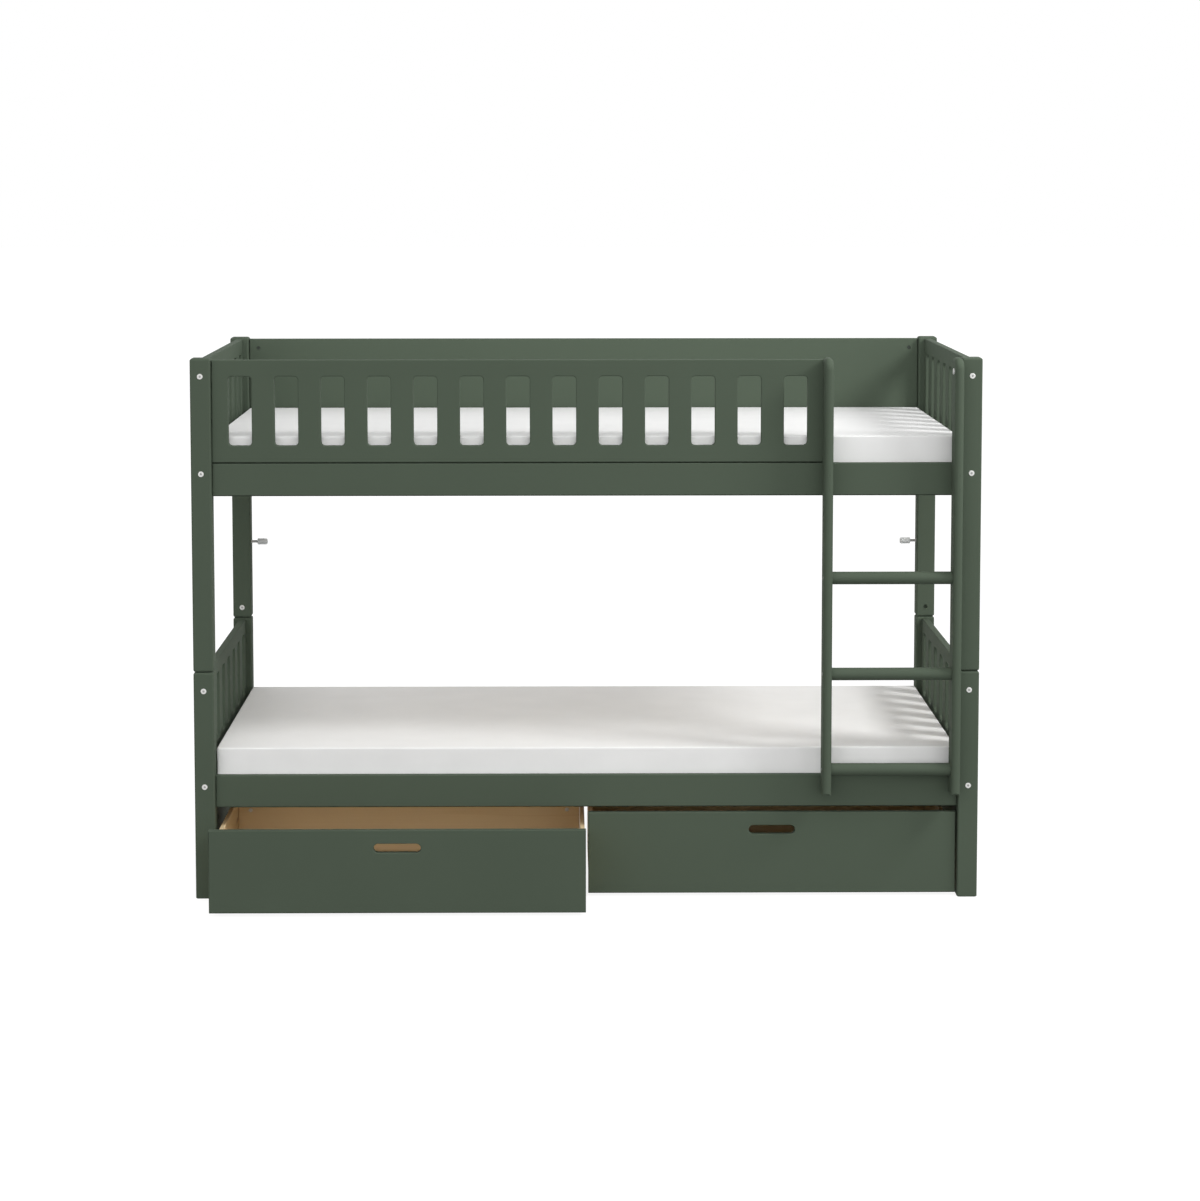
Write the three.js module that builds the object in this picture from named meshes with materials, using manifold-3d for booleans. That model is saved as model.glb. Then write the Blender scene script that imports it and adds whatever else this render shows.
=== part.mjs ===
// Bunk bed with a fixed ladder and two roll-out drawers, in millimetres, +Z up.
// Bed coordinates: X runs along the bed from its middle, Y runs back from the front faces of
// the posts and Z up from the floor. The finished group is moved so that its origin lies on
// the floor under the middle of the whole object.
import * as THREE from 'three';
import { mergeVertices } from 'three/addons/utils/BufferGeometryUtils.js';
import Module from 'manifold-3d';

const wasm = await Module();
wasm.setup();

// Mattresses, which set the length and depth of the bed. Each one is made a little shorter
// than its nominal length, by the slack at either end.
const mattressLength = 2000;
const mattressWidth = 900;
const mattressHeight = 119;
const mattressCrown = 3;
const mattressDrawIn = 3;
const mattressEdge = 7;
const mattressCorner = 12;
const mattressSlack = 3;
const mattressEndGap = 15;
const mattressSideGap = 1.5;

// Frame
const postSide = 54;
const lowerPostHeight = 616;
const upperPostHeight = 840.7;
const postTopChamfer = 5;
const postFootChamfer = 2.5;
const postRound = 3.5;
const boardThickness = 20;
const boardEdge = 2.5;
const railHeight = 87.5;
const lowerRailBottom = 245.5;
const upperRailRise = 471.7;
const panelTopDrop = 5;
const lowerPanelBottom = 130;
const guardGap = 1.5;
const seatGap = 0.3;

// Slots in the guard and the end panels
const slotWidth = 62.5;
const slotHeight = 185;
const slotPitch = 123.25;
const slotCorner = 10;
const slotTopMargin = 44;
const lowerSlotTopMargin = 38;
const guardSlotMargin = 44.5;
const endSlotMargin = 26;

// Ladder
const ladderWidth = 368.4;
const ladderPostGap = 0.5;
const poleThickness = 24;
const poleDepth = 65;
const poleAbovePost = 1;
const poleHeelRise = 43;
const poleTopRadius = 30;
const poleHeelCut = 5;
const poleEdge = 7.5;
const rungDiameter = 34;
const lowestRungRise = 64.5;
const rungPitch = 258.8;
const rungSeat = 10;

// Slatted bases
const slatTopRise = 35;
const slatThickness = 16;
const slatWidth = 70;
const slatPitch = 136.5;
const slatEndMargin = 4;
const slatSideGap = 1.5;
const ledgeWidth = 22;
const ledgeHeight = 18;
const ledgeEndGap = 8;
const tapeWidth = 16;
const tapeThickness = 1;
const tapeInset = 110;

// Frame bolts with their barrel nuts and caps
const boltRadius = 3;
const boltPastNut = 6;
const nutRadius = 5;
const nutLength = 14;
const panelNutFromEnd = 22;
const railNutFromEnd = 28;
const capRadius = 7.5;
const capProud = 0.8;
const boreClear = 0.5;
const upperPanelBoltDrop = 43;
const lowerPanelBoltDrop = 46;
const panelBoltSpacing = 260;
const railBoltRise = 31;
const guardBoltDrop = 27;

// Pins between the post sections, dowels under the guards, spare bolts
const pinRadius = 5;
const pinHalf = 40;
const lockRise = 30.7;
const lockRecess = 8;
const dowelRadius = 4;
const dowelHalf = 15;
const dowelSpacing = 600;
const dowelCount = 3;
const spareBoltRise = 226.7;
const spareBoltRadius = 4.5;
const spareBoltBare = 19;
const sleeveLength = 30;
const sleeveRadius = 9.5;
const sleeveCover = 20;

// Ladder screws
const screwRadius = 2.5;
const screwHeadRadius = 4.5;
const screwHeadLength = 4;
const screwRecess = 1;
const railScrewBite = 13;
const rungScrewBite = 25;
const ladderScrewDrop = 8;
const ladderScrewSpacing = 37;
const guardScrewInset = 50;
const heelScrewRise = 21;

// Drawers
const drawerPulledOut = 201;
const drawerSetBack = 11;
const drawerPostGap = 4.2;
const drawerMiddleGap = 7.6;
const drawerTopGap = 14.5;
const drawerFloorGap = 10;
const drawerFrontThickness = 20;
const drawerDepth = 525;
const drawerOuterInset = 8;
const drawerInnerInset = 2;
const drawerWall = 12;
const drawerEdge = 1.2;
const drawerSideDrop = 36;
const drawerSideLift = 2;
const drawerBottomThickness = 6;
const grooveDepth = 5;
const handSlotWidth = 124;
const handSlotHeight = 24;
const handSlotDrop = 48;
const fixingDrop = 23;
const fixingInset = 35;
const fixingRadius = 4.5;
const fixingProud = 1.5;

// Castors
const wheelRadius = 15;
const wheelWidth = 12;
const wheelSideInset = 32;
const wheelEndInset = 45;
const wheelSideClear = 1.5;
const wheelTopClear = 11;
const axleRadius = 2.2;
const axleOverhang = 1;
const cheekThickness = 2;
const cheekDepth = 18;
const cheekDrop = 6;
const plateDepth = 52;
const plateThickness = 2.5;

// Places worked out from the sizes above
const halfLength = mattressLength / 2 + mattressEndGap + boardThickness / 2 + postSide / 2;
const bedDepth = mattressWidth + 2 * mattressSideGap + boardThickness + postSide;
const upperPostBottom = lowerPostHeight + seatGap;
const postTop = upperPostBottom + upperPostHeight;
const postMiddle = halfLength - postSide / 2;
const postInner = halfLength - postSide;
const frontMiddle = postSide / 2;
const backMiddle = bedDepth - postSide / 2;
const frontInner = frontMiddle + boardThickness / 2;
const backInner = backMiddle - boardThickness / 2;
const boardEnd = postInner - seatGap;
const upperRailBottom = upperPostBottom + upperRailRise;
const guardBottom = upperRailBottom + railHeight + guardGap;
const upperPanelTop = postTop - panelTopDrop;
const lowerPanelTop = lowerPostHeight - panelTopDrop;
const poleFront = frontMiddle - boardThickness / 2 - seatGap - poleDepth;
const poleBottom = lowerRailBottom + poleHeelRise;
const poleTop = postTop + poleAbovePost;
const poleMiddleRight = postInner - ladderPostGap - poleThickness / 2;
const poleMiddleLeft = poleMiddleRight - ladderWidth + poleThickness;
const guardEnd = poleMiddleLeft + poleThickness / 2;
const railBoltHeights = {
  lower: lowerRailBottom + railBoltRise,
  upper: upperRailBottom + railBoltRise,
};
const panelBoltHeights = {
  lower: [lowerPanelTop - lowerPanelBoltDrop, lowerPanelTop - lowerPanelBoltDrop - panelBoltSpacing],
  upper: [upperPanelTop - upperPanelBoltDrop, upperPanelTop - upperPanelBoltDrop - panelBoltSpacing],
};

const X = new THREE.Vector3(1, 0, 0);
const Y = new THREE.Vector3(0, 1, 0);
const Z = new THREE.Vector3(0, 0, 1);
const point = (x, y, z) => new THREE.Vector3(x, y, z);
const numbers = (count) => Array.from({ length: count }, (_, index) => index);
const sides = [['left', -1], ['right', 1]];
const rows = [['front', -1], ['back', 1]];

const finishes = {
  greenPaint: { color: 0x4b5449, roughness: 0.55, metalness: 0 },
  pine: { color: 0xb98d5c, roughness: 0.6, metalness: 0 },
  plywood: { color: 0xc39a68, roughness: 0.65, metalness: 0 },
  clearPlastic: { color: 0xd8dbdc, roughness: 0.3, metalness: 0 },
  steel: { color: 0x9a9c9e, roughness: 0.35, metalness: 0.9 },
  cover: { color: 0xe4e4e0, roughness: 0.9, metalness: 0 },
  wheelPlastic: { color: 0x2b2c2d, roughness: 0.6, metalness: 0 },
};

// From three.js geometry to a boolean solid and back
function solidOf(geometry) {
  const bare = geometry.clone();
  bare.deleteAttribute('normal');
  bare.deleteAttribute('uv');
  const merged = mergeVertices(bare, 1e-3);
  const mesh = new wasm.Mesh({
    numProp: 3,
    vertProperties: new Float32Array(merged.attributes.position.array),
    triVerts: new Uint32Array(merged.index.array),
  });
  return new wasm.Manifold(mesh);
}

function geometryOf(solid) {
  const mesh = solid.getMesh();
  const geometry = new THREE.BufferGeometry();
  geometry.setAttribute('position', new THREE.BufferAttribute(new Float32Array(mesh.vertProperties), 3));
  geometry.setIndex(new THREE.BufferAttribute(new Uint32Array(mesh.triVerts), 1));
  return geometry;
}

const joined = (solids) => solids.reduce((whole, one) => whole.add(one));
const without = (solid, holes) => holes.reduce((rest, hole) => rest.subtract(hole), solid);

// Basic solids
function block(x0, x1, y0, y1, z0, z1) {
  const geometry = new THREE.BoxGeometry(x1 - x0, y1 - y0, z1 - z0);
  geometry.translate((x0 + x1) / 2, (y0 + y1) / 2, (z0 + z1) / 2);
  return solidOf(geometry);
}

function rod(radius, start, end, sideCount = 6) {
  const along = end.clone().sub(start);
  const geometry = new THREE.CylinderGeometry(radius, radius, along.length(), sideCount);
  geometry.applyQuaternion(new THREE.Quaternion().setFromUnitVectors(Y, along.normalize()));
  geometry.translate((start.x + end.x) / 2, (start.y + end.y) / 2, (start.z + end.z) / 2);
  return solidOf(geometry);
}

// Points of a rounded rectangle, counterclockwise seen from above, one list for each corner
function roundedRing(x0, x1, y0, y1, corner, z, steps = 2) {
  const centres = [
    [x1 - corner, y0 + corner],
    [x1 - corner, y1 - corner],
    [x0 + corner, y1 - corner],
    [x0 + corner, y0 + corner],
  ];
  return centres.map(([x, y], quarter) => numbers(steps + 1).map((step) => {
    const angle = (quarter - 1 + step / steps) * Math.PI / 2;
    return point(x + corner * Math.cos(angle), y + corner * Math.sin(angle), z);
  }));
}

// A closed solid through a stack of rings, from the lowest ring to the highest
function stacked(rings) {
  const count = rings[0].length;
  const corners = rings.flat();
  const faces = [];
  for (const level of numbers(rings.length - 1)) {
    for (const index of numbers(count)) {
      const here = level * count + index;
      const next = level * count + (index + 1) % count;
      faces.push(here, next, next + count, here, next + count, here + count);
    }
  }
  const middle = (ring) => ring.reduce((sum, one) => sum.add(one), point(0, 0, 0)).divideScalar(count);
  const lowest = corners.push(middle(rings[0])) - 1;
  const highest = corners.push(middle(rings.at(-1))) - 1;
  const top = (rings.length - 1) * count;
  for (const index of numbers(count)) {
    const next = (index + 1) % count;
    faces.push(lowest, next, index, highest, top + index, top + next);
  }
  const geometry = new THREE.BufferGeometry().setFromPoints(corners);
  geometry.setIndex(faces);
  return solidOf(geometry);
}

// Boards are drawn as outlines and given their thickness with a small bevel on every edge
function rectangle(x0, x1, y0, y1) {
  const shape = new THREE.Shape();
  shape.moveTo(x0, y0);
  shape.lineTo(x1, y0);
  shape.lineTo(x1, y1);
  shape.lineTo(x0, y1);
  shape.closePath();
  return shape;
}

function roundedSlot(middleX, middleY, width, height, corner) {
  const hole = new THREE.Shape();
  const x0 = middleX - width / 2;
  const y0 = middleY - height / 2;
  const [x1, y1] = [x0 + width, y0 + height];
  hole.moveTo(x0 + corner, y0);
  hole.lineTo(x1 - corner, y0);
  hole.absarc(x1 - corner, y0 + corner, corner, -Math.PI / 2, 0);
  hole.lineTo(x1, y1 - corner);
  hole.absarc(x1 - corner, y1 - corner, corner, 0, Math.PI / 2);
  hole.lineTo(x0 + corner, y1);
  hole.absarc(x0 + corner, y1 - corner, corner, Math.PI / 2, Math.PI);
  hole.lineTo(x0, y0 + corner);
  hole.absarc(x0 + corner, y0 + corner, corner, Math.PI, Math.PI * 1.5);
  return hole;
}

function thickened(shape, thickness, edge, curveSteps = 1) {
  const geometry = new THREE.ExtrudeGeometry(shape, {
    depth: thickness - 2 * edge,
    bevelEnabled: edge > 0,
    bevelThickness: edge,
    bevelSize: edge,
    bevelOffset: -edge,
    bevelSegments: 1,
    curveSegments: curveSteps,
  });
  geometry.translate(0, 0, edge - thickness / 2);
  return geometry.rotateX(Math.PI / 2);
}

// Its outline runs along X and Z, and it stands at a given Y
function boardAlong(shape, middleY, thickness, edge, curveSteps) {
  return solidOf(thickened(shape, thickness, edge, curveSteps).translate(0, middleY, 0));
}

// Its outline runs along Y and Z, and it stands at a given X
function boardAcross(shape, middleX, thickness, edge, curveSteps) {
  return solidOf(thickened(shape, thickness, edge, curveSteps).rotateZ(Math.PI / 2).translate(middleX, 0, 0));
}

// The finished object. Fasteners are joined to one of the pieces that they hold together, and
// leave a bore in the other one.
const bed = new THREE.Group();
const fastenersOn = {};
const boresIn = {};

function addTo(lists, name, solids) {
  lists[name] = [...(lists[name] ?? []), ...solids];
}

function addPiece(name, solid, finish) {
  const bored = without(solid, boresIn[name] ?? []);
  const geometry = geometryOf(joined([bored, ...(fastenersOn[name] ?? [])]));
  geometry.computeBoundingBox();
  const place = geometry.boundingBox.getCenter(new THREE.Vector3());
  geometry.translate(-place.x, -place.y, -place.z);
  const material = new THREE.MeshStandardMaterial({ ...finishes[finish], flatShading: true });
  const mesh = new THREE.Mesh(geometry, material);
  mesh.name = name;
  mesh.position.copy(place);
  bed.add(mesh);
}

const away = (from, direction) => (distance) => from.clone().addScaledVector(direction, distance);

// A frame bolt is covered by a cap on the post's face, crosses the post and ends in a barrel
// nut, which lies in the board behind the post and was put in from its open side
function cap(deep) {
  return rod(capRadius, deep(-capProud), deep(capProud), 10);
}

function addFrameBolt({ face, inward, nutAxis, openSide, nutFromEnd, post, board }) {
  const deep = away(face, inward);
  const tip = postSide + nutFromEnd + boltPastNut;
  const acrossNut = away(deep(postSide + nutFromEnd), nutAxis);
  const towardsMouth = away(deep(postSide + nutFromEnd), openSide);
  const nut = rod(nutRadius, acrossNut(-nutLength / 2), acrossNut(nutLength / 2));
  const shank = rod(boltRadius, deep(postSide - boltPastNut), deep(tip));
  addTo(fastenersOn, post, [cap(deep), shank, nut]);
  addTo(boresIn, board, [
    rod(boltRadius + boreClear, deep(postSide), deep(tip + seatGap)),
    rod(nutRadius + boreClear, towardsMouth(-nutLength / 2 - seatGap), towardsMouth(boardThickness)),
  ]);
}

for (const [side, sx] of sides) {
  for (const [row, sy] of rows) {
    const inwardX = X.clone().multiplyScalar(-sx);
    const inwardY = Y.clone().multiplyScalar(-sy);
    const faceY = sy < 0 ? 0 : bedDepth;
    const middleY = sy < 0 ? frontMiddle : backMiddle;
    for (const level of ['lower', 'upper']) {
      const post = `post_${level}_${row}_${side}`;
      for (const height of panelBoltHeights[level]) {
        addFrameBolt({
          face: point(sx * postMiddle, faceY, height),
          inward: inwardY,
          nutAxis: X,
          openSide: inwardX,
          nutFromEnd: panelNutFromEnd,
          post,
          board: `end_panel_${level}_${side}`,
        });
      }
      const alongRail = {
        inward: inwardX,
        nutAxis: Y,
        openSide: inwardY,
        nutFromEnd: railNutFromEnd,
        post,
      };
      addFrameBolt({
        ...alongRail,
        face: point(sx * halfLength, middleY, railBoltHeights[level]),
        board: `rail_${level}_${row}`,
      });
      if (level === 'upper' && (row === 'back' || side === 'left')) {
        addFrameBolt({
          ...alongRail,
          face: point(sx * halfLength, middleY, upperPanelTop - guardBoltDrop),
          board: `guard_${row}`,
        });
      }
    }
  }
}

// A pin stands in each lower post section and is locked in the upper one from inside the bed.
// The lock at the back right is the only one without its cap.
for (const [side, sx] of sides) {
  for (const [row, sy] of rows) {
    const up = away(point(sx * postMiddle, sy < 0 ? frontMiddle : backMiddle, lowerPostHeight), Z);
    const deep = away(up(lockRise).add(point(0, -sy * postSide / 2, 0)), point(0, sy, 0));
    const [lower, upper] = [`post_lower_${row}_${side}`, `post_upper_${row}_${side}`];
    addTo(fastenersOn, lower, [rod(pinRadius, up(-pinHalf), up(pinHalf), 8)]);
    addTo(boresIn, upper, [rod(pinRadius + boreClear, up(0), up(pinHalf + seatGap), 8)]);
    if (row === 'front' || side === 'left') {
      addTo(fastenersOn, upper, [cap(deep)]);
    } else {
      addTo(boresIn, upper, [rod(capRadius, deep(-1), deep(lockRecess), 10)]);
    }
  }
}

// Dowels stand in the upper rails and carry the guards
for (const [row, middleX, middleY] of [
  ['front', (guardEnd - boardEnd) / 2, frontMiddle],
  ['back', 0, backMiddle],
]) {
  for (const index of numbers(dowelCount)) {
    const x = middleX + (index - (dowelCount - 1) / 2) * dowelSpacing;
    const up = away(point(x, middleY, guardBottom - guardGap / 2), Z);
    addTo(fastenersOn, `rail_upper_${row}`, [rod(dowelRadius, up(-dowelHalf), up(dowelHalf), 8)]);
    addTo(boresIn, `guard_${row}`, [rod(dowelRadius + boreClear, up(0), up(dowelHalf + seatGap), 8)]);
  }
}

// Spare threaded bolts stand out of the back upper posts, each end in a closed sleeve
for (const [side, sx] of sides) {
  const out = away(point(sx * postInner, backMiddle, upperPostBottom + spareBoltRise), point(-sx, 0, 0));
  const boltEnd = spareBoltBare + sleeveCover;
  const sleeve = rod(sleeveRadius, out(spareBoltBare), out(spareBoltBare + sleeveLength), 12);
  const bore = rod(spareBoltRadius + boreClear, out(0), out(boltEnd + seatGap), 8);
  addTo(fastenersOn, `post_upper_back_${side}`, [rod(spareBoltRadius, out(-spareBoltBare), out(boltEnd), 8)]);
  addPiece(`spare_bolt_sleeve_${side}`, sleeve.subtract(bore), 'clearPlastic');
}

// A ladder screw stands out of its pole and bites into the piece in front of it. Its head
// lies in a recess, in the pole or in the piece that it passes through.
const poles = [['left', poleMiddleLeft], ['right', poleMiddleRight]];
const rungY = poleFront + poleDepth / 2;
const rungCount = Math.floor((upperRailBottom - poleBottom - lowestRungRise) / rungPitch) + 1;
const rungHeights = numbers(rungCount).map((index) => poleBottom + lowestRungRise + index * rungPitch);

function addScrewOut(pole, face, direction, thickness, bite, piece) {
  const deep = away(face, direction);
  addTo(boresIn, pole, [rod(screwHeadRadius, deep(-1), deep(screwRecess))]);
  addTo(fastenersOn, pole, [rod(screwRadius, deep(thickness - boltPastNut), deep(thickness + bite))]);
  addTo(boresIn, piece, [rod(screwRadius + boreClear, deep(thickness), deep(thickness + bite + seatGap))]);
}

function addScrewBack(pole, face, board) {
  const deep = away(face, Y);
  const headEnd = boardThickness + seatGap - screwRecess;
  const headStart = headEnd - screwHeadLength;
  addTo(fastenersOn, pole, [
    rod(screwRadius, deep(-boltPastNut), deep(headEnd)),
    rod(screwHeadRadius, deep(headStart), deep(headEnd)),
  ]);
  addTo(boresIn, board, [
    rod(screwRadius + boreClear, deep(0), deep(headEnd)),
    rod(screwHeadRadius + boreClear, deep(headStart - seatGap), deep(headEnd + boardThickness)),
  ]);
}

for (const [side, x] of poles) {
  const pole = `ladder_pole_${side}`;
  const inwards = side === 'left' ? 1 : -1;
  const lowScrew = railBoltHeights.upper - ladderScrewDrop;
  for (const height of [lowScrew, lowScrew + ladderScrewSpacing]) {
    addScrewOut(pole, point(x, poleFront, height), Y, poleDepth, railScrewBite, 'rail_upper_front');
  }
  addScrewBack(pole, point(x, poleFront + poleDepth, poleBottom + heelScrewRise), 'rail_lower_front');
  rungHeights.forEach((height, index) => {
    const deep = away(point(x - inwards * poleThickness / 2, rungY, height), point(inwards, 0, 0));
    const seat = poleThickness - rungSeat - seatGap;
    addTo(boresIn, pole, [rod(rungDiameter / 2 + seatGap, deep(seat), deep(poleThickness + 1), 16)]);
    addScrewOut(pole, deep(0), point(inwards, 0, 0), seat, rungScrewBite, `ladder_rung_${index + 1}`);
  });
}
for (const height of [guardBottom + guardScrewInset, upperPanelTop - guardScrewInset]) {
  addScrewBack('ladder_pole_left', point(poleMiddleLeft, poleFront + poleDepth, height), 'guard_front');
}

// Posts in two sections, with rounded edges and chamfered ends
function post(sx, sy, z0, z1, footChamfer, topChamfer) {
  const [x0, x1] = sx < 0 ? [-halfLength, -postInner] : [postInner, halfLength];
  const [y0, y1] = sy < 0 ? [0, postSide] : [bedDepth - postSide, bedDepth];
  const ring = (inset, z) => {
    const corner = Math.max(postRound - inset, postRound / 4);
    return roundedRing(x0 + inset, x1 - inset, y0 + inset, y1 - inset, corner, z).flat();
  };
  return stacked([
    ring(footChamfer, z0),
    ring(0, z0 + footChamfer),
    ring(0, z1 - topChamfer),
    ring(topChamfer, z1),
  ]);
}

for (const [side, sx] of sides) {
  for (const [row, sy] of rows) {
    const lower = post(sx, sy, 0, lowerPostHeight, postFootChamfer, postTopChamfer);
    const upper = post(sx, sy, upperPostBottom, postTop, postTopChamfer, postTopChamfer);
    addPiece(`post_lower_${row}_${side}`, lower, 'greenPaint');
    addPiece(`post_upper_${row}_${side}`, upper, 'greenPaint');
  }
}

// Rails and guards between the posts
for (const [row, middleY] of [['front', frontMiddle], ['back', backMiddle]]) {
  for (const [level, bottom] of [['lower', lowerRailBottom], ['upper', upperRailBottom]]) {
    const outline = rectangle(-boardEnd, boardEnd, bottom, bottom + railHeight);
    addPiece(`rail_${level}_${row}`, boardAlong(outline, middleY, boardThickness, boardEdge), 'greenPaint');
  }
}

const slotMiddle = (panelTop, topMargin) => panelTop - topMargin - slotHeight / 2;
const slotsThatFit = (room) => Math.floor((room - slotWidth) / slotPitch) + 1;
const guardSlots = numbers(slotsThatFit(guardEnd + boardEnd - 2 * guardSlotMargin)).map((index) => {
  const middleX = -boardEnd + guardSlotMargin + slotWidth / 2 + index * slotPitch;
  const middleZ = slotMiddle(upperPanelTop, slotTopMargin);
  const outline = roundedSlot(middleX, middleZ, slotWidth, slotHeight, slotCorner);
  return boardAlong(outline, frontMiddle, 2 * boardThickness, 0);
});
const frontGuard = boardAlong(
  rectangle(-boardEnd, guardEnd, guardBottom, upperPanelTop),
  frontMiddle,
  boardThickness,
  boardEdge,
);
const backGuard = boardAlong(
  rectangle(-boardEnd, boardEnd, guardBottom, upperPanelTop),
  backMiddle,
  boardThickness,
  boardEdge,
);
addPiece('guard_front', without(frontGuard, guardSlots), 'greenPaint');
addPiece('guard_back', backGuard, 'greenPaint');

// Slotted end panels between the front and back posts
const panelFront = postSide + seatGap;
const panelBack = bedDepth - postSide - seatGap;
const endSlotCount = slotsThatFit(panelBack - panelFront - 2 * endSlotMargin);

function endPanel(x, bottom, top, topMargin) {
  const middleZ = slotMiddle(top, topMargin);
  const slots = numbers(endSlotCount).map((index) => {
    const middleY = bedDepth / 2 + (index - (endSlotCount - 1) / 2) * slotPitch;
    const outline = roundedSlot(middleY, middleZ, slotWidth, slotHeight, slotCorner);
    return boardAcross(outline, x, 2 * boardThickness, 0);
  });
  const panel = boardAcross(rectangle(panelFront, panelBack, bottom, top), x, boardThickness, boardEdge);
  return without(panel, slots);
}

for (const [side, sx] of sides) {
  const lower = endPanel(sx * postMiddle, lowerPanelBottom, lowerPanelTop, lowerSlotTopMargin);
  const upper = endPanel(sx * postMiddle, upperRailBottom, upperPanelTop, slotTopMargin);
  addPiece(`end_panel_lower_${side}`, lower, 'greenPaint');
  addPiece(`end_panel_upper_${side}`, upper, 'greenPaint');
}

// Ladder poles, seen from the side: square at the back, with a large round at the top front.
// Their long edges are rounded, and then the foot is sawn off square with a small front bevel.
function poleOutline() {
  const [back, low] = [poleFront + poleDepth, poleBottom - 2 * poleEdge];
  const shape = new THREE.Shape();
  shape.moveTo(poleFront, low);
  shape.lineTo(back, low);
  shape.lineTo(back, poleTop);
  shape.lineTo(poleFront + poleTopRadius, poleTop);
  shape.absarc(poleFront + poleTopRadius, poleTop - poleTopRadius, poleTopRadius, Math.PI / 2, Math.PI);
  shape.closePath();
  return shape;
}

function offcutOutline() {
  const [front, back] = [poleFront - poleEdge, poleFront + poleDepth + poleEdge];
  const low = poleBottom - 3 * poleEdge;
  const shape = new THREE.Shape();
  shape.moveTo(front, low);
  shape.lineTo(back, low);
  shape.lineTo(back, poleBottom);
  shape.lineTo(poleFront + poleHeelCut, poleBottom);
  shape.lineTo(front, poleBottom + poleHeelCut + poleEdge);
  shape.closePath();
  return shape;
}

for (const [side, x] of poles) {
  const uncut = boardAcross(poleOutline(), x, poleThickness, poleEdge, 4);
  const offcut = boardAcross(offcutOutline(), x, 2 * poleThickness, 0);
  addPiece(`ladder_pole_${side}`, uncut.subtract(offcut), 'greenPaint');
}
rungHeights.forEach((height, index) => {
  const reach = poleThickness / 2 - rungSeat;
  const start = point(poleMiddleLeft + reach, rungY, height);
  const end = point(poleMiddleRight - reach, rungY, height);
  addPiece(`ladder_rung_${index + 1}`, rod(rungDiameter / 2, start, end, 16), 'greenPaint');
});

// Slatted bases: a ledge along each rail, slats across them and tapes stapled under the slats
const slatRoom = 2 * (postInner - slatEndMargin) - slatWidth;
const slatCount = Math.floor(slatRoom / slatPitch) + 1;
const slatX = (index) => (index - (slatCount - 1) / 2) * slatPitch;

for (const [level, railBottom] of [['lower', lowerRailBottom], ['upper', upperRailBottom]]) {
  const slatTop = railBottom + slatTopRise;
  const slatBottom = slatTop - slatThickness;
  const ledgeTop = slatBottom - seatGap;
  const half = postInner - ledgeEndGap;
  const tapeHalf = slatX(slatCount - 1) + slatWidth / 2;
  for (const [row, y0, y1] of [
    ['front', frontInner + seatGap, frontInner + seatGap + ledgeWidth],
    ['back', backInner - seatGap - ledgeWidth, backInner - seatGap],
  ]) {
    addPiece(`ledge_${level}_${row}`, block(-half, half, y0, y1, ledgeTop - ledgeHeight, ledgeTop), 'pine');
  }
  const slats = numbers(slatCount).map((index) => block(
    slatX(index) - slatWidth / 2,
    slatX(index) + slatWidth / 2,
    frontInner + slatSideGap,
    backInner - slatSideGap,
    slatBottom,
    slatTop,
  ));
  const tapes = [frontInner + tapeInset, backInner - tapeInset].map((y) => block(
    -tapeHalf,
    tapeHalf,
    y - tapeWidth / 2,
    y + tapeWidth / 2,
    slatBottom - tapeThickness,
    slatBottom + tapeThickness,
  ));
  addPiece(`slats_${level}`, joined([...slats, ...tapes]), 'pine');
}

// Mattresses, crowned on top and drawn in at the middle of their sides
function mattressRing(inset, drawIn, z) {
  const longSteps = 8;
  const shortSteps = 5;
  const halfX = mattressLength / 2 - mattressSlack - inset;
  const halfY = mattressWidth / 2 - inset;
  const corner = Math.max(mattressCorner - inset, mattressCorner / 4);
  const middleY = bedDepth / 2;
  const corners = roundedRing(-halfX, halfX, middleY - halfY, middleY + halfY, corner, z, 3);
  const inward = [point(-1, 0, 0), point(0, -1, 0), point(1, 0, 0), point(0, 1, 0)];
  return corners.flatMap((arc, quarter) => {
    const from = arc.at(-1);
    const to = corners[(quarter + 1) % 4][0];
    const steps = quarter % 2 ? longSteps : shortSteps;
    const between = numbers(steps - 1).map((index) => {
      const share = (index + 1) / steps;
      const pulled = drawIn * Math.sin(Math.PI * share);
      return from.clone().lerp(to, share).addScaledVector(inward[quarter], pulled);
    });
    return [...arc, ...between];
  });
}

function mattress(bottom) {
  const top = bottom + mattressHeight;
  const bend = mattressEdge * (1 - Math.SQRT1_2);
  return stacked([
    mattressRing(mattressEdge, mattressDrawIn, bottom),
    mattressRing(bend, mattressDrawIn, bottom + bend),
    mattressRing(0, mattressDrawIn, bottom + mattressEdge),
    mattressRing(mattressDrawIn, mattressDrawIn, (bottom + top) / 2),
    mattressRing(0, mattressDrawIn, top - mattressEdge),
    mattressRing(bend, mattressDrawIn, top - bend),
    mattressRing(mattressEdge, mattressDrawIn, top),
    mattressRing(mattressWidth / 12, mattressDrawIn, top + mattressCrown / 2),
    mattressRing(mattressWidth / 4, 0, top + mattressCrown),
  ]);
}

addPiece('mattress_lower', mattress(lowerRailBottom + slatTopRise + seatGap), 'cover');
addPiece('mattress_upper', mattress(upperRailBottom + slatTopRise + seatGap), 'cover');

// Drawers. Heights are shared, and each drawer is placed by its side and its front face.
const drawerFrontTop = lowerRailBottom - drawerTopGap;
const drawerSideTop = drawerFrontTop - drawerSideDrop;
const drawerSideBottom = drawerFloorGap + drawerSideLift;
const plateTop = 2 * wheelRadius + wheelTopClear + plateThickness;
const drawerFloor = plateTop + seatGap;
const drawerFloorTop = drawerFloor + drawerBottomThickness;
const castorHalf = wheelWidth / 2 + wheelSideClear + cheekThickness;

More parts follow.
